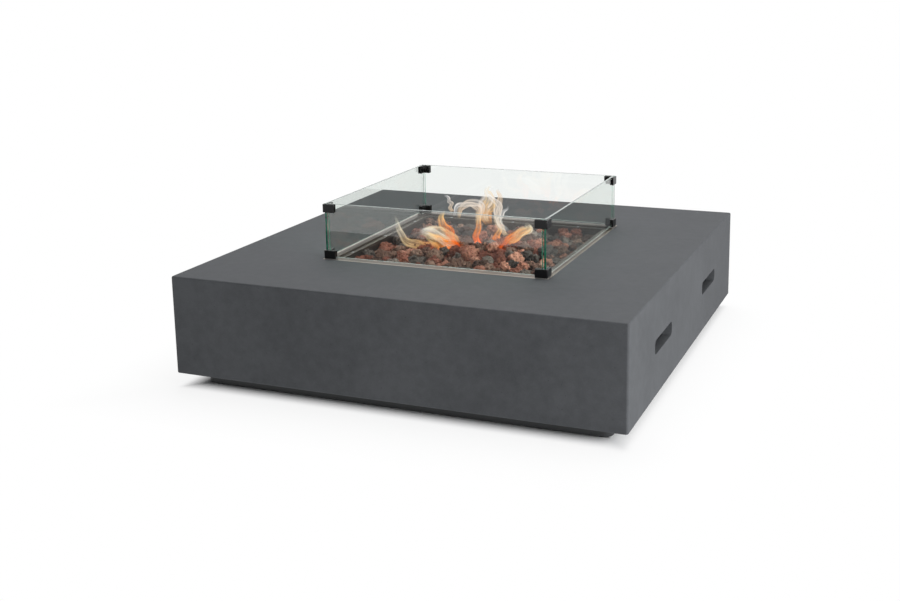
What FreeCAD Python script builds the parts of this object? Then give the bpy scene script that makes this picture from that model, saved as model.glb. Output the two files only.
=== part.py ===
import FreeCAD, Part
import itertools
import math
import os
import random

os.makedirs("parts", exist_ok=True)

# Low square gas fire pit: a one-piece concrete table on a steel plinth, a steel burner pan with a
# rock grate in its middle, and a lift-off glass wind guard. Millimetres, +Z up, front is -Y.
# The origin is the middle of the footprint, on the floor.

# Concrete table shell
table_side = 1070.0
table_top = 265.0
shell_bottom = 34.0
shell_wall = 21.0
top_thickness = 25.0
lip_height = 20.0
lip_opening_half = 455.0
shell_corner = 9.0
top_edge_round = 7.0
bottom_edge_round = 4.0
inside_corner = 12.0
cut_out_half = 263.0
rebate_half = 283.3
rebate_corner = 4.3

# Hand and air slots, two in the left wall and two in the right wall
slot_offset = 242.0
slot_length = 156.0
slot_low = 130.0
slot_high = 162.0
slot_corner = 11.0

# Plinth
plinth_inset = 47.0
plinth_corner = 22.0
plinth_inside_corner = 8.0
plinth_sheet = 3.0
plinth_flange = 40.0
foot_height = 3.0
foot_radius = 17.0
foot_place = 465.0
rail_place = 160.0
rail_width = 40.0
rail_height = 20.0
rail_sheet = 2.0
rail_gap = 0.5
bolt_line = 470.0
bolt_offset = 250.0
bolt_radius = 4.0
bolt_head_radius = 6.5
bolt_head_height = 5.5
bolt_nut_height = 6.5
bolt_end_past_nut = 2.0
bolt_hole_gap = 0.5

# Steel trim round the burner and the pan that hangs in it
sheet = 1.5
trim_flange_half = 283.0
trim_flange_corner = 4.0
trim_wall_half = 262.0
trim_drop = 8.0
trim_ledge_half = 252.0
pan_inside_half = 250.0
pan_lip_half = 259.8
pan_floor = 170.0
pan_corner = 6.0
pan_lip_corner = 3.0
drain_place = 200.0
drain_radius = 6.0
screw_line = 256.0
screw_offsets = [-180.0, 0.0, 180.0]
pan_screw_radius = 2.0
pan_screw_end = 6.0
pan_screw_dome = 4.2
pan_screw_dome_sink = 2.0
screw_hole_gap = 0.2
clamp_width = 30.0
clamp_reach = 285.0
jack_line = 275.0
jack_room = 4.0
jack_radius = 2.5
jack_end = 6.0
jack_head_radius = 5.0
jack_head_height = 3.0

# Rock grate
grate_half = 236.0
grate_bar_width = 10.0
grate_corner = 3.0
grate_low = 201.0
grate_high = 207.0
grate_rod_radius = 2.5
grate_cross_radius = 2.2
grate_rod_pitch = 30.0
grate_rods_each_side = 7
grate_leg_place = 229.0
grate_leg_radius = 4.0

# Burner and gas train
burner_half = 150.0
burner_radius = 9.5
burner_wall = 1.2
burner_axis = 186.0
port_radius = 1.6
port_pitch = 25.0
port_end_margin = 20.0
stub_bottom = 150.0
stand_half_length = 8.0
stand_half_width = 12.0
stand_below_axis = 4.0
burner_nut_across = 32.0
burner_nut_height = 6.0
mixer_low = 96.0
mixer_radius = 13.0
mixer_window_half = 6.0
mixer_window_low = 110.0
mixer_window_high = 132.0
injector_low = 66.0
injector_radius = 8.0
injector_nose_radius = 6.0
injector_hex_across = 19.0
injector_hex_height = 12.0
injector_arm = 20.0
jet_radius = 0.9
outlet_axis = 74.0
pipe_radius = 4.0
pipe_bore = 3.0
fit_gap = 0.05

# Gas valve
valve_half_width = 22.0
valve_half_height = 18.0
valve_back = 42.0
valve_neck = 6.0
valve_neck_radius = 12.0
valve_port_back = 50.0
valve_port_radius = 6.0
probe_port_radius = 4.5
supply_port_back = 24.0
supply_port_drop = 28.0
spindle_radius = 4.0

# Control panel in the rear wall
panel_half_x = 85.0
panel_low = 104.0
panel_high = 188.0
control_axis = 146.0
panel_sheet = 2.0
panel_overlap = 15.0
knob_x = -38.0
knob_radius = 22.0
knob_skirt = 5.0
knob_grip_radius = 17.5
knob_recess = 1.5
knob_flutes = 12
flute_radius = 2.0
flute_line = 18.4
knob_travel = 4.0
bezel_radius = 26.0
bezel_hole_radius = 20.0
bezel_sheet = 1.8
collar_radius = 9.0
collar_height = 3.6
igniter_x = 42.0
button_radius = 11.0
button_length = 15.0
button_edge_round = 1.5
button_travel = 5.0
igniter_radius = 12.5
igniter_length = 72.0
igniter_collar_radius = 16.0
igniter_collar_height = 4.0
terminal_end = 80.0
terminal_radius = 2.5
battery_radius = 7.1
battery_space_radius = 7.6
wall_screw_radius = 2.5
wall_screw_length = 14.0
wall_screw_head_radius = 4.6
wall_screw_head_height = 2.6
sheet_corner = 6.0

# Gas inlet in the rear wall
inlet_x = 230.0
inlet_z = 100.0
inlet_hole_radius = 25.0
inlet_thread_radius = 6.58
inlet_plate_half = 40.0
inlet_screw_margin = 7.5
inlet_body_radius = 7.0
inlet_body_back = 19.0
inlet_hex_across = 22.0
inlet_hex_height = 5.0

# Electrode and thermocouple beside the burner's cross tube
probe_y = 22.0
electrode_x = 60.0
thermocouple_x = 80.0
electrode_radius = 3.5
thermocouple_radius = 3.0
probe_hole_gap = 1.5
electrode_foot = 146.0
thermocouple_foot = 150.0

# Lava rocks
rock_pitch = 55.0
rock_rows = 9
rock_limit = 258.0
rock_seed = 7

# Glass guard
guard_half = 280.5
guard_top = 398.0
glass_thickness = 5.0
bracket_wall = 4.0
bracket_leg = 30.0
bracket_height = 20.0
bracket_floor = 4.0
glass_proud = 1.5
pad_height = 1.0
pane_gap = 4.0
set_screw_radius = 2.5
bracket_edge_round = 2.5

# Worked out from the dimensions above
table_half = table_side / 2
wall_inside = table_half - shell_wall
top_underside = table_top - top_thickness
lip_top = shell_bottom + lip_height
plinth_half = table_half - plinth_inset
trim_top = table_top
ledge_top = trim_top - trim_drop
ledge_low = ledge_top - sheet
pan_rim = ledge_top + sheet
pan_under = pan_floor - sheet
panel_back = wall_inside - panel_sheet
guard_base = trim_top + pad_height
glass_outer = guard_half - bracket_wall
glass_inner = glass_outer - glass_thickness
bracket_inner = glass_inner - bracket_wall

x_axis = FreeCAD.Vector(1, 0, 0)
y_axis = FreeCAD.Vector(0, 1, 0)
z_axis = FreeCAD.Vector(0, 0, 1)
side_names = ["front", "right", "rear", "left"]
corner_signs = {
    "front_left": (-1, -1),
    "front_right": (1, -1),
    "rear_right": (1, 1),
    "rear_left": (-1, 1),
}


def vec(x, y, z):
    return FreeCAD.Vector(x, y, z)


def block(x0, x1, y0, y1, z0, z1):
    return Part.makeBox(x1 - x0, y1 - y0, z1 - z0, vec(x0, y0, z0))


def rod(start, end, radius):
    along = end.sub(start)
    return Part.makeCylinder(radius, along.Length, start, along)


def join(shapes):
    return shapes[0].fuse(shapes[1:]).removeSplitter()


def edges_along(shape, axis):
    found = []
    for edge in shape.Edges:
        straight = isinstance(edge.Curve, (Part.Line, Part.LineSegment))
        if straight and abs(edge.tangentAt(edge.FirstParameter).dot(axis)) > 0.999:
            found.append(edge)
    return found


def edges_at_height(shape, z):
    return [e for e in shape.Edges if abs(e.BoundBox.ZMin - z) < 1e-3 and abs(e.BoundBox.ZMax - z) < 1e-3]


# A block whose four edges along one axis are rounded.
def rounded_block(x0, x1, y0, y1, z0, z1, axis, corner):
    body = block(x0, x1, y0, y1, z0, z1)
    return body.makeFillet(corner, edges_along(body, axis))


# A square slab centred on the Z axis.
def slab(half, z0, z1, corner=0.0):
    if corner > 0:
        return rounded_block(-half, half, -half, half, z0, z1, z_axis, corner)
    return block(-half, half, -half, half, z0, z1)


def frame_ring(outer_half, inner_half, z0, z1, outer_corner=0.0, inner_corner=0.0):
    return slab(outer_half, z0, z1, outer_corner).cut(slab(inner_half, z0 - 1, z1 + 1, inner_corner))


def hexagon(centre, axis, across_flats, length):
    radius = across_flats / math.sqrt(3)
    if axis == z_axis:
        side, other = x_axis, y_axis
    else:
        side, other = x_axis, z_axis
    points = []
    for k in range(7):
        angle = math.radians(60 * k)
        points.append(centre + side * (radius * math.cos(angle)) + other * (radius * math.sin(angle)))
    return Part.Face(Part.makePolygon(points)).extrude(axis * length)


# A copy of the shape turned about the Z axis for each of the four sides, front first.
def turned(shape, side):
    copy = shape.copy()
    copy.rotate(vec(0, 0, 0), z_axis, 90 * side)
    return copy


# The centreline of a bent tube: straight runs joined by the largest tangent arcs that fit.
def bent_path(points, largest_bend):
    edges = []
    start = points[0]
    for before, corner, after in zip(points, points[1:], points[2:]):
        run_in = corner.sub(before)
        run_out = after.sub(corner)
        turn = run_in.getAngle(run_out)
        shorter = min(run_in.Length, run_out.Length)
        bend = min(0.45 * shorter / math.tan(turn / 2), largest_bend)
        setback = bend * math.tan(turn / 2)
        unit_in = run_in.normalize()
        unit_out = run_out.normalize()
        arc_start = corner - unit_in * setback
        arc_end = corner + unit_out * setback
        inward = (unit_out - unit_in).normalize()
        middle = corner + inward * (bend / math.cos(turn / 2) - bend)
        edges.append(Part.LineSegment(start, arc_start).toShape())
        edges.append(Part.Arc(arc_start, middle, arc_end).toShape())
        start = arc_end
    edges.append(Part.LineSegment(start, points[-1]).toShape())
    return Part.Wire(edges)


def bent_tube(points, radius, largest_bend, bore=0.0):
    path = bent_path(points, largest_bend)
    along = points[1].sub(points[0])

    def swept(r):
        circle = Part.Wire(Part.makeCircle(r, points[0], along))
        return path.makePipeShell([circle], True, False)

    tube = swept(radius)
    expected = math.pi * radius**2 * path.Length
    print("tube volume over section times length:", round(tube.Volume / expected, 4))
    if bore > 0:
        tube = tube.cut(swept(bore))
    return tube


def save(name, shape, solids=1):
    if isinstance(shape, list):
        shape = Part.makeCompound(shape)
    if len(shape.Solids) != solids:
        raise ValueError(f"{name} has {len(shape.Solids)} solids, and it should have {solids}")
    if not shape.isValid():
        raise ValueError(f"{name} is not a valid shape")
    shape.exportStep(f"parts/{name}.step")


def bolt_places():
    places = []
    for side in range(4):
        for offset in (-bolt_offset, bolt_offset):
            spot = vec(offset, -bolt_line, 0)
            angle = math.radians(90 * side)
            x = spot.x * math.cos(angle) - spot.y * math.sin(angle)
            y = spot.x * math.sin(angle) + spot.y * math.cos(angle)
            places.append((x, y))
    return places


def panel_screw_places():
    reach_x = panel_half_x + panel_overlap / 2
    mid_low = panel_low - panel_overlap / 2
    mid_high = panel_high + panel_overlap / 2
    return [(sx * reach_x, z) for sx in (-1, 1) for z in (mid_low, mid_high)]


def inlet_screw_places():
    reach = inlet_plate_half - inlet_screw_margin
    return [(inlet_x + sx * reach, inlet_z + sz * reach) for sx in (-1, 1) for sz in (-1, 1)]


# One-piece thin-wall casting, open below inside its lip. The walls have the hand slots, and the
# rear wall has the control window and the gas inlet hole. A shallow rebate round the cut-out takes
# the steel trim's flange flush with the table top.
def make_table_shell():
    outer = slab(table_half, shell_bottom, table_top, shell_corner)
    outer = outer.makeFillet(top_edge_round, edges_at_height(outer, table_top))
    outer = outer.makeFillet(bottom_edge_round, edges_at_height(outer, shell_bottom))
    cuts = [
        slab(wall_inside, lip_top, top_underside, inside_corner),
        slab(lip_opening_half, shell_bottom - 1, lip_top + 1, inside_corner),
        slab(cut_out_half, top_underside - 1, table_top + 1),
        slab(rebate_half, table_top - sheet, table_top + 1, rebate_corner),
    ]
    for sx in (-1, 1):
        for sy in (-1, 1):
            x0, x1 = sorted((sx * (wall_inside - 1), sx * (table_half + 1)))
            y0 = sy * slot_offset - slot_length / 2
            y1 = sy * slot_offset + slot_length / 2
            cuts.append(rounded_block(x0, x1, y0, y1, slot_low, slot_high, x_axis, slot_corner))
    rear = (wall_inside - 1, table_half + 1)
    cuts.append(rounded_block(-panel_half_x, panel_half_x, *rear, panel_low, panel_high, y_axis, slot_corner))
    cuts.append(rod(vec(inlet_x, rear[0], inlet_z), vec(inlet_x, rear[1], inlet_z), inlet_hole_radius))
    for x, y in bolt_places():
        hole = rod(vec(x, y, shell_bottom - 1), vec(x, y, lip_top + 1), bolt_radius + bolt_hole_gap)
        cuts.append(hole)
    hole_end = wall_inside + wall_screw_length + 1
    for x, z in panel_screw_places() + inlet_screw_places():
        cuts.append(rod(vec(x, wall_inside - 1, z), vec(x, hole_end, z), wall_screw_radius + fit_gap))
    return outer.cut(cuts)


# Folded channel that opens inwards: top flange, web and bottom flange.
def make_plinth_frame():
    inner = plinth_half - plinth_flange
    frame = slab(plinth_half, foot_height, shell_bottom, plinth_corner)
    web_inside = plinth_half - plinth_sheet
    low = foot_height + plinth_sheet
    high = shell_bottom - plinth_sheet
    cuts = [
        slab(web_inside, low, high, plinth_corner - plinth_sheet),
        slab(inner, foot_height - 1, shell_bottom + 1, plinth_inside_corner),
    ]
    for x, y in bolt_places():
        cuts.append(rod(vec(x, y, high - 1), vec(x, y, shell_bottom + 1), bolt_radius + bolt_hole_gap))
    return frame.cut(cuts)


def make_plinth_rails():
    reach = plinth_half - plinth_sheet - rail_gap
    low = foot_height + plinth_sheet
    high = low + rail_height
    half = rail_width / 2
    inner = half - rail_sheet
    rails = []
    for sy in (-1, 1):
        y = sy * rail_place
        outside = block(-reach, reach, y - half, y + half, low, high)
        hollow = block(-reach - 1, reach + 1, y - inner, y + inner, low - 1, high - rail_sheet)
        rails.append(outside.cut(hollow))
    return rails


def make_plinth_bolts():
    bolts = []
    shank_low = shell_bottom - plinth_sheet - bolt_nut_height - bolt_end_past_nut
    for x, y in bolt_places():
        shank = rod(vec(x, y, shank_low), vec(x, y, lip_top), bolt_radius)
        head = hexagon(vec(x, y, lip_top), z_axis, 2 * bolt_head_radius, bolt_head_height)
        bolts.append(join([shank, head]))
    return bolts


def make_plinth_nuts():
    nuts = []
    low = shell_bottom - plinth_sheet - bolt_nut_height
    for x, y in bolt_places():
        nut = hexagon(vec(x, y, low), z_axis, 2 * bolt_head_radius, bolt_nut_height)
        bore = rod(vec(x, y, low - 1), vec(x, y, low + bolt_nut_height + 1), bolt_radius + fit_gap)
        nuts.append(nut.cut(bore))
    return nuts


def screw_holes(z0, z1):
    holes = []
    for side in range(4):
        for offset in screw_offsets:
            start = vec(offset, -screw_line, z0)
            hole = rod(start, vec(offset, -screw_line, z1), pan_screw_radius + screw_hole_gap)
            holes.append(turned(hole, side))
    return holes


# Flange let into the table top, a short drop, and a ledge that the pan's lip rests on.
def make_pan_trim_frame():
    inner = trim_wall_half - sheet
    flange = frame_ring(trim_flange_half, inner, trim_top - sheet, trim_top, trim_flange_corner)
    wall = frame_ring(trim_wall_half, inner, ledge_low, trim_top)
    ledge = frame_ring(trim_wall_half, trim_ledge_half, ledge_low, ledge_top)
    trim = join([flange, wall, ledge])
    return trim.cut(screw_holes(ledge_low - 1, ledge_top + 1))


# Folded pan that hangs by its lip, with drain holes and holes for the burner and the probes.
def make_burner_pan():
    outside_half = pan_inside_half + sheet
    outside = slab(outside_half, pan_under, pan_rim, pan_corner + sheet)
    lip = slab(pan_lip_half, ledge_top, pan_rim, pan_lip_corner)
    pan = join([outside, lip])
    cuts = [slab(pan_inside_half, pan_floor, pan_rim + 1, pan_corner)]
    low = pan_under - 1
    high = pan_floor + 1
    cuts.append(rod(vec(0, 0, low), vec(0, 0, high), burner_radius + screw_hole_gap))
    for x in (electrode_x, thermocouple_x):
        cuts.append(rod(vec(x, probe_y, low), vec(x, probe_y, high), electrode_radius + probe_hole_gap))
    for sx, sy in corner_signs.values():
        x = sx * drain_place
        y = sy * drain_place
        cuts.append(rod(vec(x, y, low), vec(x, y, high), drain_radius))
    cuts += screw_holes(ledge_top - 1, pan_rim + 1)
    return pan.cut(cuts)


def make_pan_screws():
    screws = []
    y = -screw_line
    above = 5.0
    for side in range(4):
        for x in screw_offsets:
            shank = rod(vec(x, y, ledge_low - pan_screw_end), vec(x, y, pan_rim), pan_screw_radius)
            dome = Part.makeSphere(pan_screw_dome, vec(x, y, pan_rim - pan_screw_dome_sink))
            cap = block(x - above, x + above, y - above, y + above, pan_rim, pan_rim + above)
            screws.append(turned(join([shank, dome.common(cap)]), side))
    return screws


# Bracket that hooks the trim frame under the table top, with a jack screw in its foot.
def make_trim_clamp(side):
    half = clamp_width / 2
    foot_top = top_underside - jack_room
    tab_end = -pan_inside_half - sheet - bolt_hole_gap
    tab = block(-half, half, -trim_wall_half, tab_end, ledge_low - sheet, ledge_low)
    leg = block(-half, half, -trim_wall_half, -trim_wall_half + sheet, foot_top - sheet, ledge_low)
    foot = block(-half, half, -clamp_reach, -trim_wall_half + sheet, foot_top - sheet, foot_top)
    clamp = join([tab, leg, foot])
    tab_hole = vec(0, -screw_line, ledge_low - 5)
    hole = rod(tab_hole, vec(0, -screw_line, ledge_low + 1), pan_screw_radius + screw_hole_gap)
    jack = rod(vec(0, -jack_line, foot_top - 5), vec(0, -jack_line, foot_top + 1), jack_radius + fit_gap)
    return turned(clamp.cut([hole, jack]), side)


def make_clamp_jack_screws():
    screws = []
    end = top_underside - jack_room - sheet - jack_end
    for side in range(4):
        shank = rod(vec(0, -jack_line, end), vec(0, -jack_line, top_underside), jack_radius)
        head = rod(vec(0, -jack_line, end - jack_head_height), vec(0, -jack_line, end), jack_head_radius)
        screws.append(turned(join([shank, head]), side))
    return screws


# Flat-bar frame on four legs. It carries the grate's bars clear of the burner.
def make_grate_frame():
    inner = grate_half - grate_bar_width
    parts = [frame_ring(grate_half, inner, grate_low, grate_high, grate_corner)]
    for sx, sy in corner_signs.values():
        x = sx * grate_leg_place
        y = sy * grate_leg_place
        parts.append(rod(vec(x, y, pan_floor), vec(x, y, grate_high - 2), grate_leg_radius))
    return join(parts)


# Bars welded between the frame's front and rear sides, with two cross bars under them.
def make_grate_bars():
    bars = []
    reach = grate_half - grate_bar_width
    bar_axis = (grate_low + grate_high) / 2
    for k in range(-grate_rods_each_side, grate_rods_each_side + 1):
        x = k * grate_rod_pitch
        bars.append(rod(vec(x, -reach, bar_axis), vec(x, reach, bar_axis), grate_rod_radius))
    cross_axis = bar_axis - grate_rod_radius - grate_cross_radius
    for y in (-burner_half / 2, burner_half / 2):
        bars.append(rod(vec(-reach, y, cross_axis), vec(reach, y, cross_axis), grate_cross_radius))
    return bars


def burner_solid(radius, stub_end):
    h = burner_half
    z = burner_axis
    corners = [vec(-h, -h, z), vec(h, -h, z), vec(h, h, z), vec(-h, h, z)]
    parts = []
    for start, end in zip(corners, corners[1:] + corners[:1]):
        parts.append(rod(start, end, radius))
        parts.append(Part.makeSphere(radius, start))
    parts.append(rod(vec(-h, 0, z), vec(h, 0, z), radius))
    parts.append(rod(vec(0, 0, stub_end), vec(0, 0, z), radius))
    return join(parts)


# Square ring with a cross tube and a threaded stub that goes down through the pan's floor.
def make_burner_ring():
    outside = burner_solid(burner_radius, stub_bottom)
    inside = burner_solid(burner_radius - burner_wall, stub_bottom - 1)
    ports = []
    low = burner_axis + burner_radius / 2
    high = burner_axis + burner_radius + 1
    steps = int((burner_half - port_end_margin) // port_pitch)
    for k in range(-steps, steps + 1):
        a = k * port_pitch
        places = [(a, -burner_half), (a, burner_half), (-burner_half, a), (burner_half, a)]
        if k != 0:
            places.append((a, 0))
        for x, y in places:
            ports.append(rod(vec(x, y, low), vec(x, y, high), port_radius))
    return outside.cut(inside).cut(ports)


def make_burner_stands():
    stands = []
    top = burner_axis - stand_below_axis
    for sx, sy in corner_signs.values():
        x0 = sx * burner_half / 2 - stand_half_length
        x1 = sx * burner_half / 2 + stand_half_length
        y = sy * burner_half
        saddle = block(x0, x1, y - stand_half_width, y + stand_half_width, pan_floor, top)
        groove = rod(vec(x0 - 1, y, burner_axis), vec(x1 + 1, y, burner_axis), burner_radius + fit_gap)
        stands.append(saddle.cut(groove))
    return stands


def make_burner_locknut():
    low = pan_under - burner_nut_height
    nut = hexagon(vec(0, 0, low), z_axis, burner_nut_across, burner_nut_height)
    return nut.cut(rod(vec(0, 0, low - 1), vec(0, 0, pan_under + 1), burner_radius + fit_gap))


# Tube under the pan where the gas jet draws in air through two windows.
def make_air_mixer():
    mixer_high = stub_bottom + 10
    tube = rod(vec(0, 0, mixer_low), vec(0, 0, mixer_high), mixer_radius)
    reach = mixer_radius + 1
    half = mixer_window_half
    windows = (-reach, reach, -half, half, mixer_window_low, mixer_window_high)
    cuts = [
        rod(vec(0, 0, stub_bottom - 1), vec(0, 0, mixer_high + 1), burner_radius + fit_gap),
        rod(vec(0, 0, mixer_low + 5), vec(0, 0, stub_bottom), burner_radius - burner_wall),
        rod(vec(0, 0, mixer_low - 1), vec(0, 0, mixer_low + 6), injector_nose_radius + fit_gap),
        rounded_block(*windows, x_axis, half - 1),
    ]
    return tube.cut(cuts)


# Brass elbow with the gas jet at its top.
def make_gas_injector():
    hex_low = mixer_low - injector_hex_height
    nose_top = mixer_low + 12
    body = rod(vec(0, 0, injector_low), vec(0, 0, hex_low), injector_radius)
    hexa = hexagon(vec(0, 0, hex_low), z_axis, injector_hex_across, injector_hex_height)
    nose = rod(vec(0, 0, mixer_low - 1), vec(0, 0, nose_top), injector_nose_radius)
    side = rod(vec(0, 0, outlet_axis), vec(0, injector_arm, outlet_axis), injector_nose_radius)
    jet = rod(vec(0, 0, outlet_axis), vec(0, 0, nose_top + 1), jet_radius)
    supply = rod(vec(0, 0, outlet_axis), vec(0, injector_arm + 1, outlet_axis), pipe_bore)
    return join([body, hexa, nose, side]).cut([jet, supply])


# Valve that hangs behind the panel. Its spindle bore faces the rear, with the outlet and the
# thermocouple boss at its inner end and the supply boss below.
def make_gas_valve():
    x = knob_x
    z = control_axis
    inner_end = panel_back - valve_back
    x_span = (x - valve_half_width, x + valve_half_width)
    y_span = (inner_end, panel_back - valve_neck)
    z_span = (z - valve_half_height, z + valve_half_height)
    body = rounded_block(*x_span, *y_span, *z_span, y_axis, 4.0)
    neck = rod(vec(x, panel_back - valve_neck - 2, z), vec(x, panel_back, z), valve_neck_radius)
    outlet = rod(outlet_port(), outlet_port() + vec(0, 9, 0), valve_port_radius)
    boss = rod(probe_port(), probe_port() + vec(0, 9, 0), probe_port_radius)
    supply = rod(supply_port(), supply_port() + vec(0, 0, 11), valve_port_radius)
    bore = rod(vec(x, inner_end + 14, z), vec(x, panel_back + 1, z), spindle_radius + fit_gap)
    return join([body, neck, outlet, boss, supply]).cut(bore)


def outlet_port():
    return vec(knob_x + 6, panel_back - valve_port_back, control_axis - 8)


def probe_port():
    return vec(knob_x - 14, panel_back - valve_port_back, control_axis + 10)


def supply_port():
    return vec(knob_x, panel_back - supply_port_back, control_axis - supply_port_drop)


def make_valve_spindle():
    start = vec(knob_x, panel_back - supply_port_back + 2, control_axis)
    return rod(start, vec(knob_x, table_half - 7, control_axis), spindle_radius)


def knob_base_y():
    bezel_gap = 0.7
    return wall_inside + bezel_sheet + bezel_gap + knob_travel


# Ring on the spindle that the return spring bears on. It travels with the knob and doesn't turn.
def make_spindle_collar():
    y1 = knob_base_y() - 0.3
    y0 = y1 - collar_height
    collar = rod(vec(knob_x, y0, control_axis), vec(knob_x, y1, control_axis), collar_radius)
    before = vec(knob_x, y0 - 1, control_axis)
    return collar.cut(rod(before, vec(knob_x, y1 + 1, control_axis), spindle_radius + fit_gap))


# Knob with a skirt, a fluted grip and a pointer groove.
def make_control_knob():
    x = knob_x
    z = control_axis
    y0 = knob_base_y()
    skirt_end = y0 + knob_skirt
    front = table_half - knob_recess
    skirt = rod(vec(x, y0, z), vec(x, skirt_end, z), knob_radius)
    grip = rod(vec(x, skirt_end - 1, z), vec(x, front, z), knob_grip_radius)
    flutes = []
    for k in range(knob_flutes):
        angle = math.radians((k + 0.5) * 360 / knob_flutes)
        fx = x + flute_line * math.cos(angle)
        fz = z + flute_line * math.sin(angle)
        flutes.append(rod(vec(fx, skirt_end + 0.5, fz), vec(fx, front + 1, fz), flute_radius))
    pointer = block(x - 1, x + 1, front - 1.5, front + 1, z + 2, z + knob_radius)
    bore = rod(vec(x, y0 - 1, z), vec(x, table_half - 6.5, z), spindle_radius + 0.02)
    return join([skirt, grip]).cut(flutes + [pointer, bore])


def make_knob_bezel():
    x = knob_x
    z = control_axis
    front = wall_inside + bezel_sheet
    ring = rod(vec(x, wall_inside, z), vec(x, front, z), bezel_radius)
    return ring.cut(rod(vec(x, wall_inside - 1, z), vec(x, front + 1, z), bezel_hole_radius))


# Flat plate behind the control window.
def make_control_panel():
    reach = panel_half_x + panel_overlap
    low = panel_low - panel_overlap
    high = panel_high + panel_overlap
    plate = rounded_block(-reach, reach, panel_back, wall_inside, low, high, y_axis, sheet_corner)
    holes = [
        (knob_x, control_axis, collar_radius + 1.0),
        (igniter_x, control_axis, igniter_radius + 0.1),
    ]
    for x, z in panel_screw_places():
        holes.append((x, z, wall_screw_radius + screw_hole_gap))
    cuts = [rod(vec(x, panel_back - 1, z), vec(x, wall_inside + 1, z), r) for x, z, r in holes]
    return plate.cut(cuts)


# Screws that hold the control panel and the inlet plate to the inside of the rear wall.
def make_wall_screws():
    screws = []
    seats = [(x, z, panel_back) for x, z in panel_screw_places()]
    seats += [(x, z, wall_inside - plinth_sheet) for x, z in inlet_screw_places()]
    for x, z, seat in seats:
        shank = rod(vec(x, seat, z), vec(x, wall_inside + wall_screw_length, z), wall_screw_radius)
        head = rod(vec(x, seat - wall_screw_head_height, z), vec(x, seat, z), wall_screw_head_radius)
        screws.append(join([shank, head]))
    return screws


# Barrel that holds the battery, with a collar in front that guides the button.
def make_igniter_housing():
    x = igniter_x
    z = control_axis
    barrel_end = panel_back - igniter_length
    collar_front = wall_inside + igniter_collar_height
    barrel = rod(vec(x, barrel_end, z), vec(x, wall_inside + 1, z), igniter_radius)
    collar = rod(vec(x, wall_inside, z), vec(x, collar_front, z), igniter_collar_radius)
    terminal = rod(vec(x, panel_back - terminal_end, z), vec(x, barrel_end + 1, z), terminal_radius)
    battery_space = rod(vec(x, barrel_end + 6, z), vec(x, wall_inside, z), battery_space_radius)
    button_space = rod(vec(x, panel_back - 7, z), vec(x, collar_front + 1, z), button_radius + fit_gap)
    return join([barrel, collar, terminal]).cut([battery_space, button_space])


def make_igniter_nut():
    height = 5.0
    across_flats = 32.0
    nut = hexagon(vec(igniter_x, panel_back - height, control_axis), y_axis, across_flats, height)
    start = vec(igniter_x, panel_back - height - 1, control_axis)
    return nut.cut(rod(start, vec(igniter_x, panel_back + 1, control_axis), igniter_radius + fit_gap))


def make_igniter_battery():
    x = igniter_x
    z = control_axis
    cell_end = panel_back - 15.0
    cell = rod(vec(x, panel_back - 64, z), vec(x, cell_end, z), battery_radius)
    cap = rod(vec(x, cell_end - 1, z), vec(x, cell_end + 1.5, z), 2.7)
    return join([cell, cap])


def make_igniter_button():
    x = igniter_x
    z = control_axis
    start = panel_back - 6 + button_travel
    end = start + button_length
    button = rod(vec(x, start, z), vec(x, end, z), button_radius)
    rim = [e for e in button.Edges if e.BoundBox.YMin > end - 0.1]
    return button.makeFillet(button_edge_round, rim)


def make_ignition_lead():
    points = [
        vec(igniter_x, panel_back - terminal_end, control_axis),
        vec(igniter_x, 340, control_axis),
        vec(electrode_x - 4, 200, 104),
        vec(electrode_x, 80, 92),
        vec(electrode_x, probe_y, 114),
        vec(electrode_x, probe_y, electrode_foot),
    ]
    return bent_tube(points, 2.0, 150.0)


def make_ignition_electrode():
    x = electrode_x
    y = probe_y
    pin = rod(vec(x, y, electrode_foot), vec(x, y, electrode_foot + 7), 1.5)
    ceramic = rod(vec(x, y, electrode_foot + 6), vec(x, y, burner_axis), electrode_radius)
    tip = rod(vec(x, y, burner_axis - 1), vec(x, y, burner_axis + burner_radius), 1.2)
    return join([pin, ceramic, tip])


def make_thermocouple():
    x = thermocouple_x
    y = probe_y
    stem = rod(vec(x, y, thermocouple_foot), vec(x, y, burner_axis), thermocouple_radius)
    tip = rod(vec(x, y, burner_axis - 1), vec(x, y, burner_axis + 7), 2.2)
    return join([stem, tip])


def make_thermocouple_lead():
    points = [
        vec(thermocouple_x, probe_y, thermocouple_foot),
        vec(thermocouple_x, probe_y, 116),
        vec(thermocouple_x + 4, 78, 84),
        vec(thermocouple_x - 8, 200, 80),
        vec(15, 330, 118),
        probe_port() - vec(0, 60, 0),
        probe_port(),
    ]
    return bent_tube(points, 1.5, 150.0)


# Angle on the pan's floor that holds the electrode and the thermocouple.
def make_sensor_bracket():
    x0 = electrode_x - 12
    x1 = thermocouple_x + 12
    base = block(x0, x1, probe_y - 8, probe_y + 10, pan_floor, pan_floor + 2)
    shield = block(x0, x1, probe_y + 8, probe_y + 10, pan_floor, pan_floor + 22)
    cuts = []
    for x, radius in ((electrode_x, electrode_radius), (thermocouple_x, thermocouple_radius)):
        cuts.append(rod(vec(x, probe_y, pan_floor - 1), vec(x, probe_y, pan_floor + 3), radius + fit_gap))
    return join([base, shield]).cut(cuts)


def make_gas_pipe():
    points = [
        vec(0, injector_arm, outlet_axis),
        vec(0, 230, outlet_axis),
        outlet_port() - vec(0, 82, 0),
        outlet_port(),
    ]
    return bent_tube(points, pipe_radius, 60.0, pipe_bore)


def make_supply_pipe():
    points = [
        vec(inlet_x, wall_inside - inlet_body_back, inlet_z),
        vec(inlet_x, 425, inlet_z),
        vec(60, 425, 80),
        supply_port() - vec(0, 0, 38),
        supply_port(),
    ]
    return bent_tube(points, pipe_radius, 30.0, pipe_bore)


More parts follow.
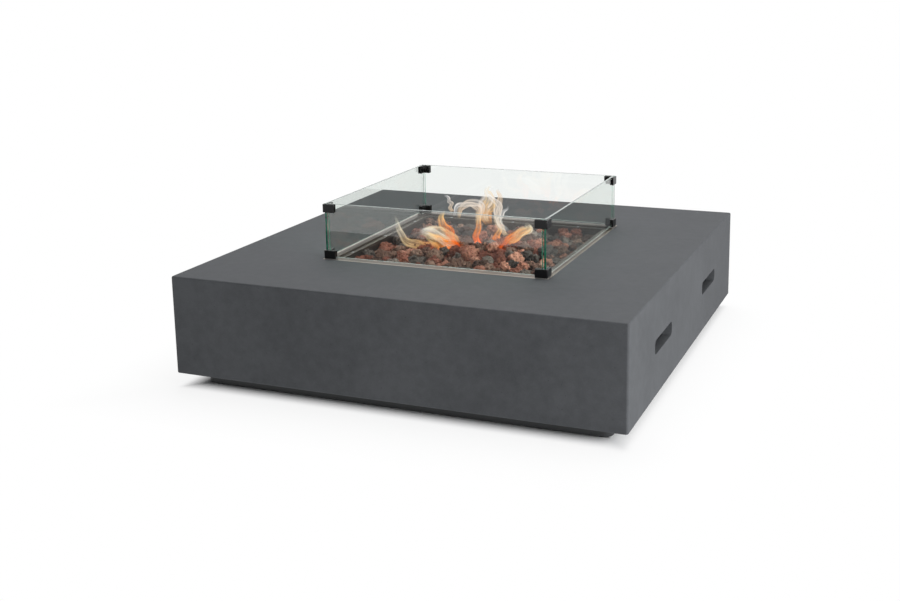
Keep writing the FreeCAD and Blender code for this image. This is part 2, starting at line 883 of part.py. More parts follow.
def make_inlet_plate():
    back = wall_inside - plinth_sheet
    x_span = (inlet_x - inlet_plate_half, inlet_x + inlet_plate_half)
    z_span = (inlet_z - inlet_plate_half, inlet_z + inlet_plate_half)
    plate = rounded_block(*x_span, back, wall_inside, *z_span, y_axis, sheet_corner)
    holes = [(inlet_x, inlet_z, inlet_body_radius + screw_hole_gap)]
    for x, z in inlet_screw_places():
        holes.append((x, z, wall_screw_radius + screw_hole_gap))
    cuts = [rod(vec(x, back - 1, z), vec(x, wall_inside + 1, z), r) for x, z, r in holes]
    return plate.cut(cuts)


# Bulkhead fitting. The hose nut screws on its outer stub, which ends inside the wall's hole.
def make_gas_inlet_fitting():
    x = inlet_x
    z = inlet_z
    start = wall_inside - inlet_body_back
    stub_end = table_half - 2
    body = rod(vec(x, start, z), vec(x, wall_inside + 1, z), inlet_body_radius)
    hexa = hexagon(vec(x, wall_inside, z), y_axis, inlet_hex_across, inlet_hex_height)
    stub = rod(vec(x, wall_inside + 4, z), vec(x, stub_end, z), inlet_thread_radius)
    bore = rod(vec(x, start - 1, z), vec(x, table_half, z), pipe_bore)
    return join([body, hexa, stub]).cut(bore)


def make_inlet_locknut():
    end = wall_inside - plinth_sheet
    start = end - inlet_hex_height
    nut = hexagon(vec(inlet_x, start, inlet_z), y_axis, inlet_hex_across, inlet_hex_height)
    before = vec(inlet_x, start - 1, inlet_z)
    return nut.cut(rod(before, vec(inlet_x, end + 1, inlet_z), inlet_body_radius + fit_gap))


# Faceted stone: a twenty-sided solid, squashed along its three axes and turned at random.
def make_rock(centre, radius, chance):
    golden = (1 + math.sqrt(5)) / 2
    corners = []
    for a in (-1, 1):
        for b in (-golden, golden):
            corners += [vec(0, a, b), vec(a, b, 0), vec(b, 0, a)]
    turn = FreeCAD.Rotation(chance.uniform(0, 360), chance.uniform(0, 360), chance.uniform(0, 360))
    size = radius / math.hypot(1, golden)
    squash = [size * chance.uniform(0.7, 1.0) for _ in range(3)]
    points = []
    for c in corners:
        squashed = vec(c.x * squash[0], c.y * squash[1], c.z * squash[2])
        points.append(centre + turn.multVec(squashed))
    faces = []
    for i, j, k in itertools.combinations(range(12), 3):
        sides = [(i, j), (j, k), (k, i)]
        if max(corners[a].distanceToPoint(corners[b]) for a, b in sides) < 2.01:
            loop = [points[i], points[j], points[k], points[i]]
            faces.append(Part.Face(Part.makePolygon(loop)))
    return Part.Solid(Part.Shell(faces))


# Height at which a dropped ball of this radius comes to rest on the balls already there.
def rest_height(x, y, radius, balls):
    height = grate_high + radius
    for bx, by, bz, br in balls:
        apart = math.hypot(x - bx, y - by)
        reach = radius + br
        if apart < reach:
            height = max(height, bz + math.sqrt(reach**2 - apart**2))
    return height


# A full lower layer of rocks, one in each cell of a grid, and a heap of smaller ones on it.
def make_lava_rocks():
    chance = random.Random(rock_seed)
    balls = []
    cell = rock_pitch / 2
    first = -(rock_rows - 1) / 2 * rock_pitch
    for i in range(rock_rows):
        for j in range(rock_rows):
            radius = chance.uniform(17.0, 25.0)
            play = cell - radius
            x = first + i * rock_pitch + chance.uniform(-play, play)
            y = first + j * rock_pitch + chance.uniform(-play, play)
            balls.append((x, y, grate_high + radius, radius))
    for i in range(1, rock_rows - 2):
        for j in range(1, rock_rows - 2):
            radius = chance.uniform(12.0, 17.0)
            x = first + cell + i * rock_pitch
            y = first + cell + j * rock_pitch
            z = rest_height(x, y, radius, balls)
            if z + radius < rock_limit:
                balls.append((x, y, z, radius))
    print("rocks:", len(balls))
    return [make_rock(vec(x, y, z), radius - 0.2, chance) for x, y, z, radius in balls]


# The side panes run the guard's full depth, and the front and rear panes stand between them.
def make_glass_pane(name):
    z0 = guard_base + bracket_floor
    z1 = guard_top + glass_proud
    if name in ("left", "right"):
        x0, x1 = sorted((glass_inner, glass_outer)) if name == "right" else (-glass_outer, -glass_inner)
        return block(x0, x1, -glass_outer, glass_outer, z0, z1)
    reach = glass_inner - pane_gap
    y0, y1 = (glass_inner, glass_outer) if name == "rear" else (-glass_outer, -glass_inner)
    return block(-reach, reach, y0, y1, z0, z1)


def corner_leg_screws(sx, sy, z, radius):
    middle = guard_half - bracket_leg + 8
    x_leg = rod(vec(sx * middle, sy * bracket_inner, z), vec(sx * middle, sy * glass_inner, z), radius)
    y_leg = rod(vec(sx * bracket_inner, sy * middle, z), vec(sx * glass_inner, sy * middle, z), radius)
    return [x_leg, y_leg]


# L-shaped clamp round a corner. The panes sit in its slots, and a web through the gap between the
# panes joins its inner and outer jaws. A lower clamp's slots have a floor, an upper clamp's slots
# run right through it.
def make_guard_bracket(sx, sy, z0, slot_low_z, slot_high_z):
    z1 = z0 + bracket_height
    body = rounded_block(0, guard_half, 0, guard_half, z0, z1, z_axis, bracket_edge_round)
    start = guard_half - bracket_leg
    keep = block(start, guard_half + 1, start, guard_half + 1, z0 - 1, z1 + 1)
    inside = block(start - 1, bracket_inner, start - 1, bracket_inner, z0 - 1, z1 + 1)
    along_y = block(glass_inner, glass_outer, start - 1, glass_outer, slot_low_z, slot_high_z)
    along_x = block(start - 1, glass_inner - pane_gap, glass_inner, glass_outer, slot_low_z, slot_high_z)
    bracket = body.common(keep).cut([inside, along_y, along_x])
    screw_z = (max(slot_low_z, z0) + min(slot_high_z, z1)) / 2
    bracket = bracket.cut(corner_leg_screws(1, 1, screw_z, set_screw_radius + fit_gap))
    if sx < 0:
        bracket = bracket.mirror(vec(0, 0, 0), x_axis)
    if sy < 0:
        bracket = bracket.mirror(vec(0, 0, 0), y_axis)
    return bracket


def lower_slot():
    return (guard_base + bracket_floor, guard_base + bracket_height + 1)


def upper_slot():
    return (guard_top - bracket_height - 1, guard_top + 1)


def make_bracket_set_screws():
    low_z = (guard_base + bracket_floor + guard_base + bracket_height) / 2
    high_z = guard_top - bracket_height / 2
    screws = []
    for sx, sy in corner_signs.values():
        for z in (low_z, high_z):
            screws += corner_leg_screws(sx, sy, z, set_screw_radius)
    return screws


def make_guard_pads():
    start = guard_half - bracket_leg
    pads = []
    for sx, sy in corner_signs.values():
        outer = block(start, guard_half - 1, start, guard_half - 1, trim_top, guard_base)
        inner = bracket_inner + 1
        pad = outer.cut(block(start - 1, inner, start - 1, inner, trim_top - 1, guard_base + 1))
        if sx < 0:
            pad = pad.mirror(vec(0, 0, 0), x_axis)
        if sy < 0:
            pad = pad.mirror(vec(0, 0, 0), y_axis)
        pads.append(pad)
    return pads


save("table_shell", make_table_shell())
save("plinth_frame", make_plinth_frame())
save("plinth_rails", make_plinth_rails(), 2)
save("plinth_bolts", make_plinth_bolts(), 8)
save("plinth_nuts", make_plinth_nuts(), 8)
for corner, (sx, sy) in corner_signs.items():
    foot_middle = vec(sx * foot_place, sy * foot_place, 0)
    save(f"foot_pad_{corner}", rod(foot_middle, foot_middle + vec(0, 0, foot_height), foot_radius))

save("pan_trim_frame", make_pan_trim_frame())
for side, side_name in enumerate(side_names):
    save(f"trim_clamp_{side_name}", make_trim_clamp(side))
save("clamp_jack_screws", make_clamp_jack_screws(), 4)
save("burner_pan", make_burner_pan())
save("pan_screws", make_pan_screws(), 12)
save("grate_frame", make_grate_frame())
bars = make_grate_bars()
save("grate_bars", bars, len(bars))
rocks = make_lava_rocks()
save("lava_rocks", rocks, len(rocks))

save("burner_ring", make_burner_ring())
save("burner_stands", make_burner_stands(), 4)
save("burner_locknut", make_burner_locknut())
save("air_mixer", make_air_mixer())
save("gas_injector", make_gas_injector())
save("gas_pipe", make_gas_pipe())
save("gas_valve", make_gas_valve())
save("supply_pipe", make_supply_pipe())
save("inlet_plate", make_inlet_plate())
save("gas_inlet_fitting", make_gas_inlet_fitting())
save("inlet_locknut", make_inlet_locknut())

save("control_panel", make_control_panel())
save("wall_screws", make_wall_screws(), 8)
save("knob_bezel", make_knob_bezel())
save("valve_spindle", make_valve_spindle())
save("spindle_collar", make_spindle_collar())
save("control_knob", make_control_knob())
save("igniter_housing", make_igniter_housing())
save("igniter_nut", make_igniter_nut())
save("igniter_battery", make_igniter_battery())
save("igniter_button", make_igniter_button())
save("ignition_lead", make_ignition_lead())
save("ignition_electrode", make_ignition_electrode())
save("thermocouple", make_thermocouple())
save("thermocouple_lead", make_thermocouple_lead())
save("sensor_bracket", make_sensor_bracket())

for side_name in side_names:
    save(f"guard_glass_{side_name}", make_glass_pane(side_name))
for corner, (sx, sy) in corner_signs.items():
    save(f"guard_foot_{corner}", make_guard_bracket(sx, sy, guard_base, *lower_slot()))
    save(f"guard_cap_{corner}", make_guard_bracket(sx, sy, guard_top - bracket_height, *upper_slot()))
save("bracket_set_screws", make_bracket_set_screws(), 16)
save("guard_pads", make_guard_pads(), 4)
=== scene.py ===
import math
import random

import bpy
import numpy as np
from mathutils import Matrix, Vector, noise


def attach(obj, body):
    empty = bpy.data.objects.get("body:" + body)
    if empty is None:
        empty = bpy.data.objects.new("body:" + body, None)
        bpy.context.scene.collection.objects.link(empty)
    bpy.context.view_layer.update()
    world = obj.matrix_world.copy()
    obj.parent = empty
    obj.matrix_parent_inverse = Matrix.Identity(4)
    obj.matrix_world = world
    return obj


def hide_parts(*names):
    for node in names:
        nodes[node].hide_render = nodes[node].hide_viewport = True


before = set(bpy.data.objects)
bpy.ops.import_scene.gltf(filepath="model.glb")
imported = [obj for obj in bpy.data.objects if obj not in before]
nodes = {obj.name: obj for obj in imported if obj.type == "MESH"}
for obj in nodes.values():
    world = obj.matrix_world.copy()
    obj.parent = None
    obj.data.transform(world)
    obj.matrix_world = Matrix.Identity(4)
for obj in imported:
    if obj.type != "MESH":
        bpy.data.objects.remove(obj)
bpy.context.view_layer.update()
print("frame loaded:", len(nodes), "nodes")

cornerSigns = [(1, 1), (-1, 1), (-1, -1), (1, -1)]
# how far cutters reach past the surface they cut, on large pieces and on small ones
over, past = 0.01, 0.001


# small helpers: selecting, adding, cutting and finishing pieces

def only(obj):
    if bpy.context.mode != "OBJECT":
        bpy.ops.object.mode_set(mode="OBJECT")
    bpy.ops.object.select_all(action="DESELECT")
    obj.select_set(True)
    bpy.context.view_layer.objects.active = obj


def settle(obj, name=None):
    only(obj)
    bpy.ops.object.transform_apply(location=True, rotation=True, scale=True)
    if name:
        obj.name = name
        obj.data.name = name
    return obj


def addBox(name, low, high):
    middle = [(a + b) / 2 for a, b in zip(low, high)]
    bpy.ops.mesh.primitive_cube_add(size=1, location=middle)
    box = bpy.context.object
    box.scale = [b - a for a, b in zip(low, high)]
    return settle(box, name)


def addSquare(name, half, low, high):
    return addBox(name, (-half, -half, low), (half, half, high))


def addRod(name, start, end, radius, sides=32):
    along = Vector(end) - Vector(start)
    turn = along.to_track_quat("Z", "Y").to_euler()
    middle = (Vector(start) + Vector(end)) / 2
    bpy.ops.mesh.primitive_cylinder_add(vertices=sides, radius=radius, depth=along.length,
                                        location=middle, rotation=turn)
    return settle(bpy.context.object, name)


def pickNothing(obj, kind):
    only(obj)
    bpy.ops.object.mode_set(mode="EDIT")
    bpy.ops.mesh.select_mode(type=kind)
    bpy.ops.mesh.select_all(action="DESELECT")
    bpy.ops.object.mode_set(mode="OBJECT")


def pickFaces(obj, test):
    pickNothing(obj, "FACE")
    for face in obj.data.polygons:
        face.select = test(face.center, face.normal)
    bpy.ops.object.mode_set(mode="EDIT")


def pickFacing(obj, axis):
    pickFaces(obj, lambda middle, normal: normal[axis] > 0.9)


def pickEdges(obj, test):
    pickNothing(obj, "EDGE")
    points = obj.data.vertices
    for edge in obj.data.edges:
        edge.select = test(points[edge.vertices[0]].co, points[edge.vertices[1]].co)
    bpy.ops.object.mode_set(mode="EDIT")


def done():
    bpy.ops.object.mode_set(mode="OBJECT")


def alongAxis(axis):
    others = [k for k in range(3) if k != axis]
    return lambda a, b: all(abs(a[k] - b[k]) < 1e-6 for k in others)


def atHeight(height):
    return lambda a, b: abs(a.z - height) < 1e-5 and abs(b.z - height) < 1e-5


# rounds what is picked, and leaves edit mode
def roundPicked(obj, radius, segments):
    bpy.ops.mesh.bevel(offset=radius, segments=segments, affect="EDGES")
    done()
    return obj


# rounds the edges that run along one axis, as a fold or a mould corner does
def roundEdges(obj, axis, radius, segments=5):
    pickEdges(obj, alongAxis(axis))
    return roundPicked(obj, radius, segments)


def roundRim(obj, height, radius, segments=5):
    pickEdges(obj, atHeight(height))
    return roundPicked(obj, radius, segments)


def pullPicked(x, y, z):
    bpy.ops.mesh.extrude_region_move(TRANSFORM_OT_translate={"value": (x, y, z)})


def useModifier(obj, kind, **settings):
    only(obj)
    modifier = obj.modifiers.new(kind.lower(), kind)
    for key, value in settings.items():
        setattr(modifier, key, value)
    bpy.ops.object.modifier_apply(modifier=modifier.name)
    return obj


def cutWith(obj, cutters, operation="DIFFERENCE"):
    for cutter in cutters:
        useModifier(obj, "BOOLEAN", object=cutter, operation=operation, solver="EXACT")
        bpy.data.objects.remove(cutter)
    return obj


def softEdges(obj, width, segments=2, angle=40):
    useModifier(obj, "BEVEL", width=width, segments=segments, limit_method="ANGLE",
                angle_limit=math.radians(angle), miter_outer="MITER_ARC")
    return smooth(obj, angle)


def smooth(obj, angle=40):
    only(obj)
    bpy.ops.object.shade_smooth_by_angle(angle=math.radians(angle))
    useModifier(obj, "WEIGHTED_NORMAL", keep_sharp=True)
    return obj


def joined(name, pieces):
    only(pieces[0])
    for piece in pieces:
        piece.select_set(True)
    bpy.ops.object.join()
    return settle(bpy.context.object, name)


# a copy of a piece with its own mesh, moved by a matrix; a mirrored one is turned right way out
def copied(obj, name, matrix):
    twin = obj.copy()
    twin.data = obj.data.copy()
    bpy.context.scene.collection.objects.link(twin)
    twin.data.transform(matrix)
    if matrix.determinant() < 0:
        twin.data.flip_normals()
    twin.name = name
    return twin


def paint(obj, *materials):
    obj.data.materials.clear()
    for material in materials:
        obj.data.materials.append(material)


def addObject(name, data, place):
    obj = bpy.data.objects.new(name, data)
    bpy.context.scene.collection.objects.link(obj)
    obj.location = place
    return obj


def addLamp(name, kind, place, **settings):
    data = bpy.data.lights.new(name, kind)
    for key, value in settings.items():
        setattr(data, key, value)
    return addObject(name, data, place)


# what a finished piece is made of, the body it rides on and the node it stands for; its slot is not used
def place(obj, materials, body, slot, *replaced):
    paint(obj, *materials)
    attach(obj, body)
    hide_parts(*replaced)


# materials

def hexColour(text):
    channels = [int(text[k:k + 2], 16) / 255 for k in (1, 3, 5)]
    linear = [c / 12.92 if c <= 0.04045 else ((c + 0.055) / 1.055) ** 2.4 for c in channels]
    return (*linear, 1.0)


def perMetre(millimetres):
    return 1000 / millimetres


def newMaterial(name, space="Object"):
    material = bpy.data.materials.new(name)
    material.use_nodes = True
    tree = material.node_tree
    tree.nodes.clear()
    coords = addNode(tree, "TexCoord").outputs[space] if space else None
    return material, tree, coords


# adds one node; links maps its inputs to values, sockets or nodes (their first output), stops are
# a ramp's places with an sRGB hex or a grey level, and settings are the node's own properties
def addNode(tree, kind, links=None, stops=(), **settings):
    node = tree.nodes.new("ShaderNode" + kind)
    for key, value in settings.items():
        setattr(node, key, value)
    for key, value in (links or {}).items():
        source = value.outputs[0] if isinstance(value, bpy.types.Node) else value
        if isinstance(source, bpy.types.NodeSocket):
            tree.links.new(source, node.inputs[key])
        else:
            node.inputs[key].default_value = source
    if stops:
        band = node.color_ramp
        while len(band.elements) < len(stops):
            band.elements.new(0.5)
        for element, (position, colour) in zip(band.elements, stops):
            element.position = position
            element.color = hexColour(colour) if isinstance(colour, str) else (colour, colour, colour, 1)
    return node


def finishMaterial(material, kind, links):
    tree = material.node_tree
    addNode(tree, "OutputMaterial", {"Surface": addNode(tree, kind, links)})
    return material


# cast glass-fibre concrete from a smooth mould, dyed through: cloudy grey, dead matt, a few pinholes,
# darkened in colour as painted shade
def makeConcrete():
    look = {"light": "#4f5154", "dark": "#404245", "cloud": 160, "blotch": 22, "grain": 3,
            "pinholes": 17, "relief": 0.0012, "shine": 0.26}
    material, tree, coords = newMaterial("castConcreteGrey")
    clouds, blotches, grain = [
        addNode(tree, "TexNoise", {"Vector": coords, "Scale": perMetre(look[size]), "Detail": detail})
        for size, detail in (("cloud", 4.0), ("blotch", 5.0), ("grain", 2.0))]
    pits = addNode(tree, "TexVoronoi", {"Vector": coords, "Scale": perMetre(look["pinholes"])})
    tone = 0.0
    for pattern, share in ((blotches, 0.45), (grain, 0.2), (clouds, 0.55)):
        tone = addNode(tree, "Math", {0: pattern, 1: share, 2: tone}, operation="MULTIPLY_ADD")
    colour = addNode(tree, "ValToRGB", {"Fac": tone}, [(0.42, look["dark"]), (0.76, look["light"])])
    # the pinholes are darkened in colour: painted shade in them, besides their dent in the bump
    holes = addNode(tree, "ValToRGB", {"Fac": pits}, [(0.03, 0.55), (0.07, 1.0)])
    shaded = addNode(tree, "Mix", {"Factor": 1.0, 6: colour, 7: holes},
                     data_type="RGBA", blend_type="MULTIPLY")
    roughness = addNode(tree, "ValToRGB", {"Fac": tone}, [(0.3, 0.66), (0.8, 0.8)])
    relief = addNode(tree, "Math", {0: grain, 1: 0.25, 2: clouds}, operation="MULTIPLY_ADD")
    withHoles = addNode(tree, "Math", {0: holes, 1: 0.5, 2: relief}, operation="MULTIPLY_ADD")
    bump = addNode(tree, "Bump", {"Height": withHoles, "Strength": 0.35, "Distance": look["relief"]})
    return finishMaterial(material, "BsdfPrincipled", {
        "Base Color": shaded.outputs[2], "Roughness": roughness, "Normal": bump,
        "Specular IOR Level": look["shine"]})


# powder coat, baked on: even colour with a slight orange peel that breaks up its highlights
def makePowderCoat(name, colour, roughness, peel, sheen=0.5):
    look = {"wear": 45, "relief": 0.0004}
    material, tree, coords = newMaterial(name)
    ripple = addNode(tree, "TexNoise", {"Vector": coords, "Scale": perMetre(peel), "Detail": 2.0})
    wear = addNode(tree, "TexNoise", {"Vector": coords, "Scale": perMetre(look["wear"]), "Detail": 5.0})
    level = addNode(tree, "MapRange", {"Value": wear, "To Min": 0.85, "To Max": 1.15})
    tint = addNode(tree, "HueSaturation", {"Color": hexColour(colour), "Value": level})
    gloss = addNode(tree, "MapRange",
                    {"Value": wear, "To Min": roughness - 0.06, "To Max": roughness + 0.08})
    bump = addNode(tree, "Bump", {"Height": ripple, "Strength": 0.25, "Distance": look["relief"]})
    return finishMaterial(material, "BsdfPrincipled", {
        "Base Color": tint, "Roughness": gloss, "Normal": bump, "Specular IOR Level": sheen})


# brushed stainless sheet: fine lines along each side of a square frame, meeting at its mitres
def makeBrushedSteel(name, light, dark, roughness):
    look = {"lineWidth": 2.0, "lineLength": 90, "stain": 60, "relief": 0.0002}
    material, tree, coords = newMaterial(name)
    axes = addNode(tree, "SeparateXYZ", {0: coords})
    acrossX, acrossY = [addNode(tree, "Math", {0: axes.outputs[k]}, operation="ABSOLUTE") for k in (0, 1)]
    sideways = addNode(tree, "Math", {0: acrossX, 1: acrossY}, operation="GREATER_THAN")
    fine, coarse = perMetre(look["lineWidth"]), perMetre(look["lineLength"])
    brushed = []
    for stretch in ((coarse, fine, fine), (fine, coarse, fine)):
        brush = addNode(tree, "Mapping", {"Vector": coords, "Scale": stretch})
        brushed.append(addNode(tree, "TexNoise", {"Vector": brush, "Scale": 1.0, "Detail": 3.0}))
    lines = addNode(tree, "Mix", {"Factor": sideways, 2: brushed[0], 3: brushed[1]}, data_type="FLOAT")
    stain = addNode(tree, "TexNoise", {"Vector": coords, "Scale": perMetre(look["stain"]), "Detail": 4.0})
    lineShare = addNode(tree, "Math", {0: lines, 1: 0.5}, operation="MULTIPLY")
    tone = addNode(tree, "Math", {0: stain, 1: 0.5, 2: lineShare}, operation="MULTIPLY_ADD")
    colour = addNode(tree, "ValToRGB", {"Fac": tone}, [(0.3, dark), (0.7, light)])
    gloss = addNode(tree, "MapRange",
                    {"Value": lines, "To Min": roughness - 0.08, "To Max": roughness + 0.12})
    bump = addNode(tree, "Bump", {"Height": lines, "Strength": 0.3, "Distance": look["relief"]})
    return finishMaterial(material, "BsdfPrincipled", {
        "Base Color": colour, "Metallic": 1.0, "Roughness": gloss, "Normal": bump})


# plated or turned metal: nearly clean, with faint handling marks
def makePlainMetal(name, light, dark, roughness, mark=14):
    material, tree, coords = newMaterial(name)
    marks = addNode(tree, "TexNoise", {"Vector": coords, "Scale": perMetre(mark), "Detail": 6.0})
    colour = addNode(tree, "ValToRGB", {"Fac": marks}, [(0.3, dark), (0.7, light)])
    gloss = addNode(tree, "MapRange",
                    {"Value": marks, "To Min": roughness - 0.07, "To Max": roughness + 0.1})
    return finishMaterial(material, "BsdfPrincipled", {
        "Base Color": colour, "Metallic": 1.0, "Roughness": gloss})


# moulded plastic, rubber or glaze: one colour, a fine sparked or ground surface
def makeMoulded(name, colour, roughness, texture=1.2, depth=0.0002):
    look = {"cloud": 25}
    material, tree, coords = newMaterial(name)
    spark = addNode(tree, "TexNoise", {"Vector": coords, "Scale": perMetre(texture), "Detail": 3.0})
    cloud = addNode(tree, "TexNoise", {"Vector": coords, "Scale": perMetre(look["cloud"]), "Detail": 3.0})
    level = addNode(tree, "MapRange", {"Value": cloud, "To Min": 0.88, "To Max": 1.12})
    tint = addNode(tree, "HueSaturation", {"Color": hexColour(colour), "Value": level})
    gloss = addNode(tree, "MapRange",
                    {"Value": spark, "To Min": roughness - 0.05, "To Max": roughness + 0.07})
    bump = addNode(tree, "Bump", {"Height": spark, "Strength": 0.3, "Distance": depth})
    return finishMaterial(material, "BsdfPrincipled", {
        "Base Color": tint, "Roughness": gloss, "Normal": bump})


glassIndex = 1.52


# toughened float glass: almost colourless through its face, lamps shine through it
def makeClearGlass():
    material, tree, _ = newMaterial("toughenedGlassFace", None)
    # a slanting look passes through more glass, so it comes out greyer and greener
    slant = addNode(tree, "LayerWeight", {"Blend": 0.5}).outputs["Facing"]
    tint = addNode(tree, "ValToRGB", {"Fac": slant}, [(0.12, "#f8fbf9"), (0.6, "#d0d8d3")])
    glass = addNode(tree, "BsdfPrincipled", {
        "Base Color": tint, "Roughness": 0.0, "Transmission Weight": 1.0, "IOR": glassIndex})
    lampPath = addNode(tree, "LightPath").outputs["Is Shadow Ray"]
    through = addNode(tree, "BsdfTransparent", {"Color": hexColour("#eef7f2")})
    return finishMaterial(material, "MixShader", {"Fac": lampPath, 1: glass, 2: through})


# the edges of the same glass: the upright ones are ground, and the light that has run the length of
# the pane comes out of them deep bottle green; the top ones are polished, and their pale grey is a painted
# reflection of the sky
def makeGlassEdge(name, dark, light, clear):
    look = {"grind": 9, "roughness": 0.16}
    material, tree, coords = newMaterial(name)
    grind = addNode(tree, "TexNoise", {"Vector": coords, "Scale": perMetre(look["grind"]), "Detail": 4.0})
    colour = addNode(tree, "ValToRGB", {"Fac": grind}, [(0.3, dark), (0.7, light)])
    return finishMaterial(material, "BsdfPrincipled", {
        "Base Color": colour, "Roughness": look["roughness"], "Transmission Weight": clear,
        "IOR": glassIndex})


# scoria: frozen froth of lava, full of gas pits, dull and rough; each stone has its own tone; the pits are
# darkened in colour, painted shade
def makeLavaStone(name, deep, middle, pale):
    look = {"pit": 4.2, "crust": 11, "dust": 30, "relief": 0.0034, "roughness": 0.93, "shine": 0.2}
    material, tree, coords = newMaterial(name)
    tone = addNode(tree, "Attribute", attribute_name="stoneTone").outputs["Fac"]
    pits = addNode(tree, "TexVoronoi", {"Vector": coords, "Scale": perMetre(look["pit"])}, feature="F1")
    crust = addNode(tree, "TexNoise", {"Vector": coords, "Scale": perMetre(look["crust"]), "Detail": 7.0})
    dust = addNode(tree, "TexNoise", {"Vector": coords, "Scale": perMetre(look["dust"]), "Detail": 3.0})
    level = -0.25
    for pattern, share in ((crust, 0.5), (dust, 0.4), (tone, 0.75)):
        level = addNode(tree, "Math", {0: pattern, 1: share, 2: level}, operation="MULTIPLY_ADD")
    colour = addNode(tree, "ValToRGB", {"Fac": level}, [(0.1, deep), (0.5, middle), (0.95, pale)])
    # the pits are darkened in colour: painted shade in them, besides their dent in the bump
    pitShade = addNode(tree, "ValToRGB", {"Fac": pits}, [(0.08, 0.16), (0.4, 1.0)])
    shaded = addNode(tree, "Mix", {"Factor": 1.0, 6: colour, 7: pitShade},
                     data_type="RGBA", blend_type="MULTIPLY")
    height = addNode(tree, "Math", {0: pitShade, 1: 0.8, 2: crust}, operation="MULTIPLY_ADD")
    bump = addNode(tree, "Bump", {"Height": height, "Strength": 1.0, "Distance": look["relief"]})
    return finishMaterial(material, "BsdfPrincipled", {
        "Base Color": shaded.outputs[2], "Roughness": look["roughness"], "Normal": bump,
        "Specular IOR Level": look["shine"]})


concrete = makeConcrete()
plinthCoat = makePowderCoat("powderCoatPlinth", "#242628", 0.42, 2.5)
clampCoat = makePowderCoat("satinBlackClampCoat", "#070708", 0.28, 1.6, 0.3)
trimSteel = makeBrushedSteel("brushedStainlessTrim", "#a89e95", "#81776e", 0.33)
darkBrownSteel = makeBrushedSteel("darkBrownStainlessTrim", "#6a5e55", "#4a403a", 0.36)
panSteel = makeBrushedSteel("heatDulledStainlessPan", "#6f665f", "#4c4540", 0.46)
burnerSteel = makePlainMetal("stainlessTubeScorched", "#8d8378", "#5d5148", 0.4, 30)
zincPlate = makePlainMetal("brightZincPlate", "#c3c5c8", "#9b9ea2", 0.34)
turnedBrass = makePlainMetal("turnedBrass", "#c7a35c", "#9c7b3c", 0.3, 9)
castAlloy = makePlainMetal("dieCastAlloy", "#b2b3b5", "#8f9194", 0.45)
copperTube = makePlainMetal("softCopperTube", "#c98a62", "#9a6040", 0.36)
blackOxide = makePlainMetal("blackOxideScrews", "#3a3a3c", "#232324", 0.42, 6)
padRubber = makeMoulded("groundRubberFoot", "#1b1b1b", 0.85, 1.5)
clearPad = makeMoulded("siliconePad", "#8b8d8c", 0.5)
knobPlastic = makeMoulded("phenolicKnob", "#161617", 0.38)
pointerPaint = makeMoulded("whitePointerPaint", "#d4d3cc", 0.5, 2.0, 0.00005)
buttonPlastic = makeMoulded("polishedButton", "#1d1d1f", 0.2, 2.0, 0.00005)
cellJacket = makeMoulded("batteryJacket", "#3b3d42", 0.4)
leadSleeve = makeMoulded("siliconeLead", "#7d2a1d", 0.5)
glazedCeramic = makeMoulded("glazedElectrodeCeramic", "#e9e5da", 0.22, 3.0, 0.00005)
glassFace = makeClearGlass()
glassEdge = makeGlassEdge("toughenedGlassGroundEdge", "#0f5a45", "#2c8a6c", 0.35)
# pale grey top edges: a painted reflection of the sky
glassTopEdgePaintedSky = makeGlassEdge("toughenedGlassEdgePaintedSky", "#aab3af", "#ccd4d0", 0.3)
stoneLooks = {"lavaStonesRust": makeLavaStone("lavaStoneRust", "#4a2b23", "#875142", "#b37f6b"),
              "lavaStonesBrown": makeLavaStone("lavaStoneBrown", "#3b2b25", "#6b4f44", "#9a7b6c"),
              "lavaStonesGrey": makeLavaStone("lavaStoneGrey", "#322e2c", "#5c524d", "#85776f")}
print("materials made")


# concrete table

table = {"half": 0.535, "top": 0.265, "bottom": 0.034, "wall": 0.021, "topThickness": 0.025,
         "lipTop": 0.054, "lipHalf": 0.455, "corner": 0.005, "topEdge": 0.004, "bottomEdge": 0.003,
         "cutOutHalf": 0.263, "rebateHalf": 0.2833, "rebate": 0.0015, "rebateCorner": 0.0043,
         "innerCorner": 0.012, "slotEdge": 0.0016}
slots = {"offset": 0.242, "length": 0.156, "low": 0.130, "high": 0.162, "corner": 0.011}
window = {"half": 0.085, "low": 0.104, "high": 0.188, "corner": 0.011}
inletHole = {"x": 0.230, "z": 0.100, "radius": 0.025}


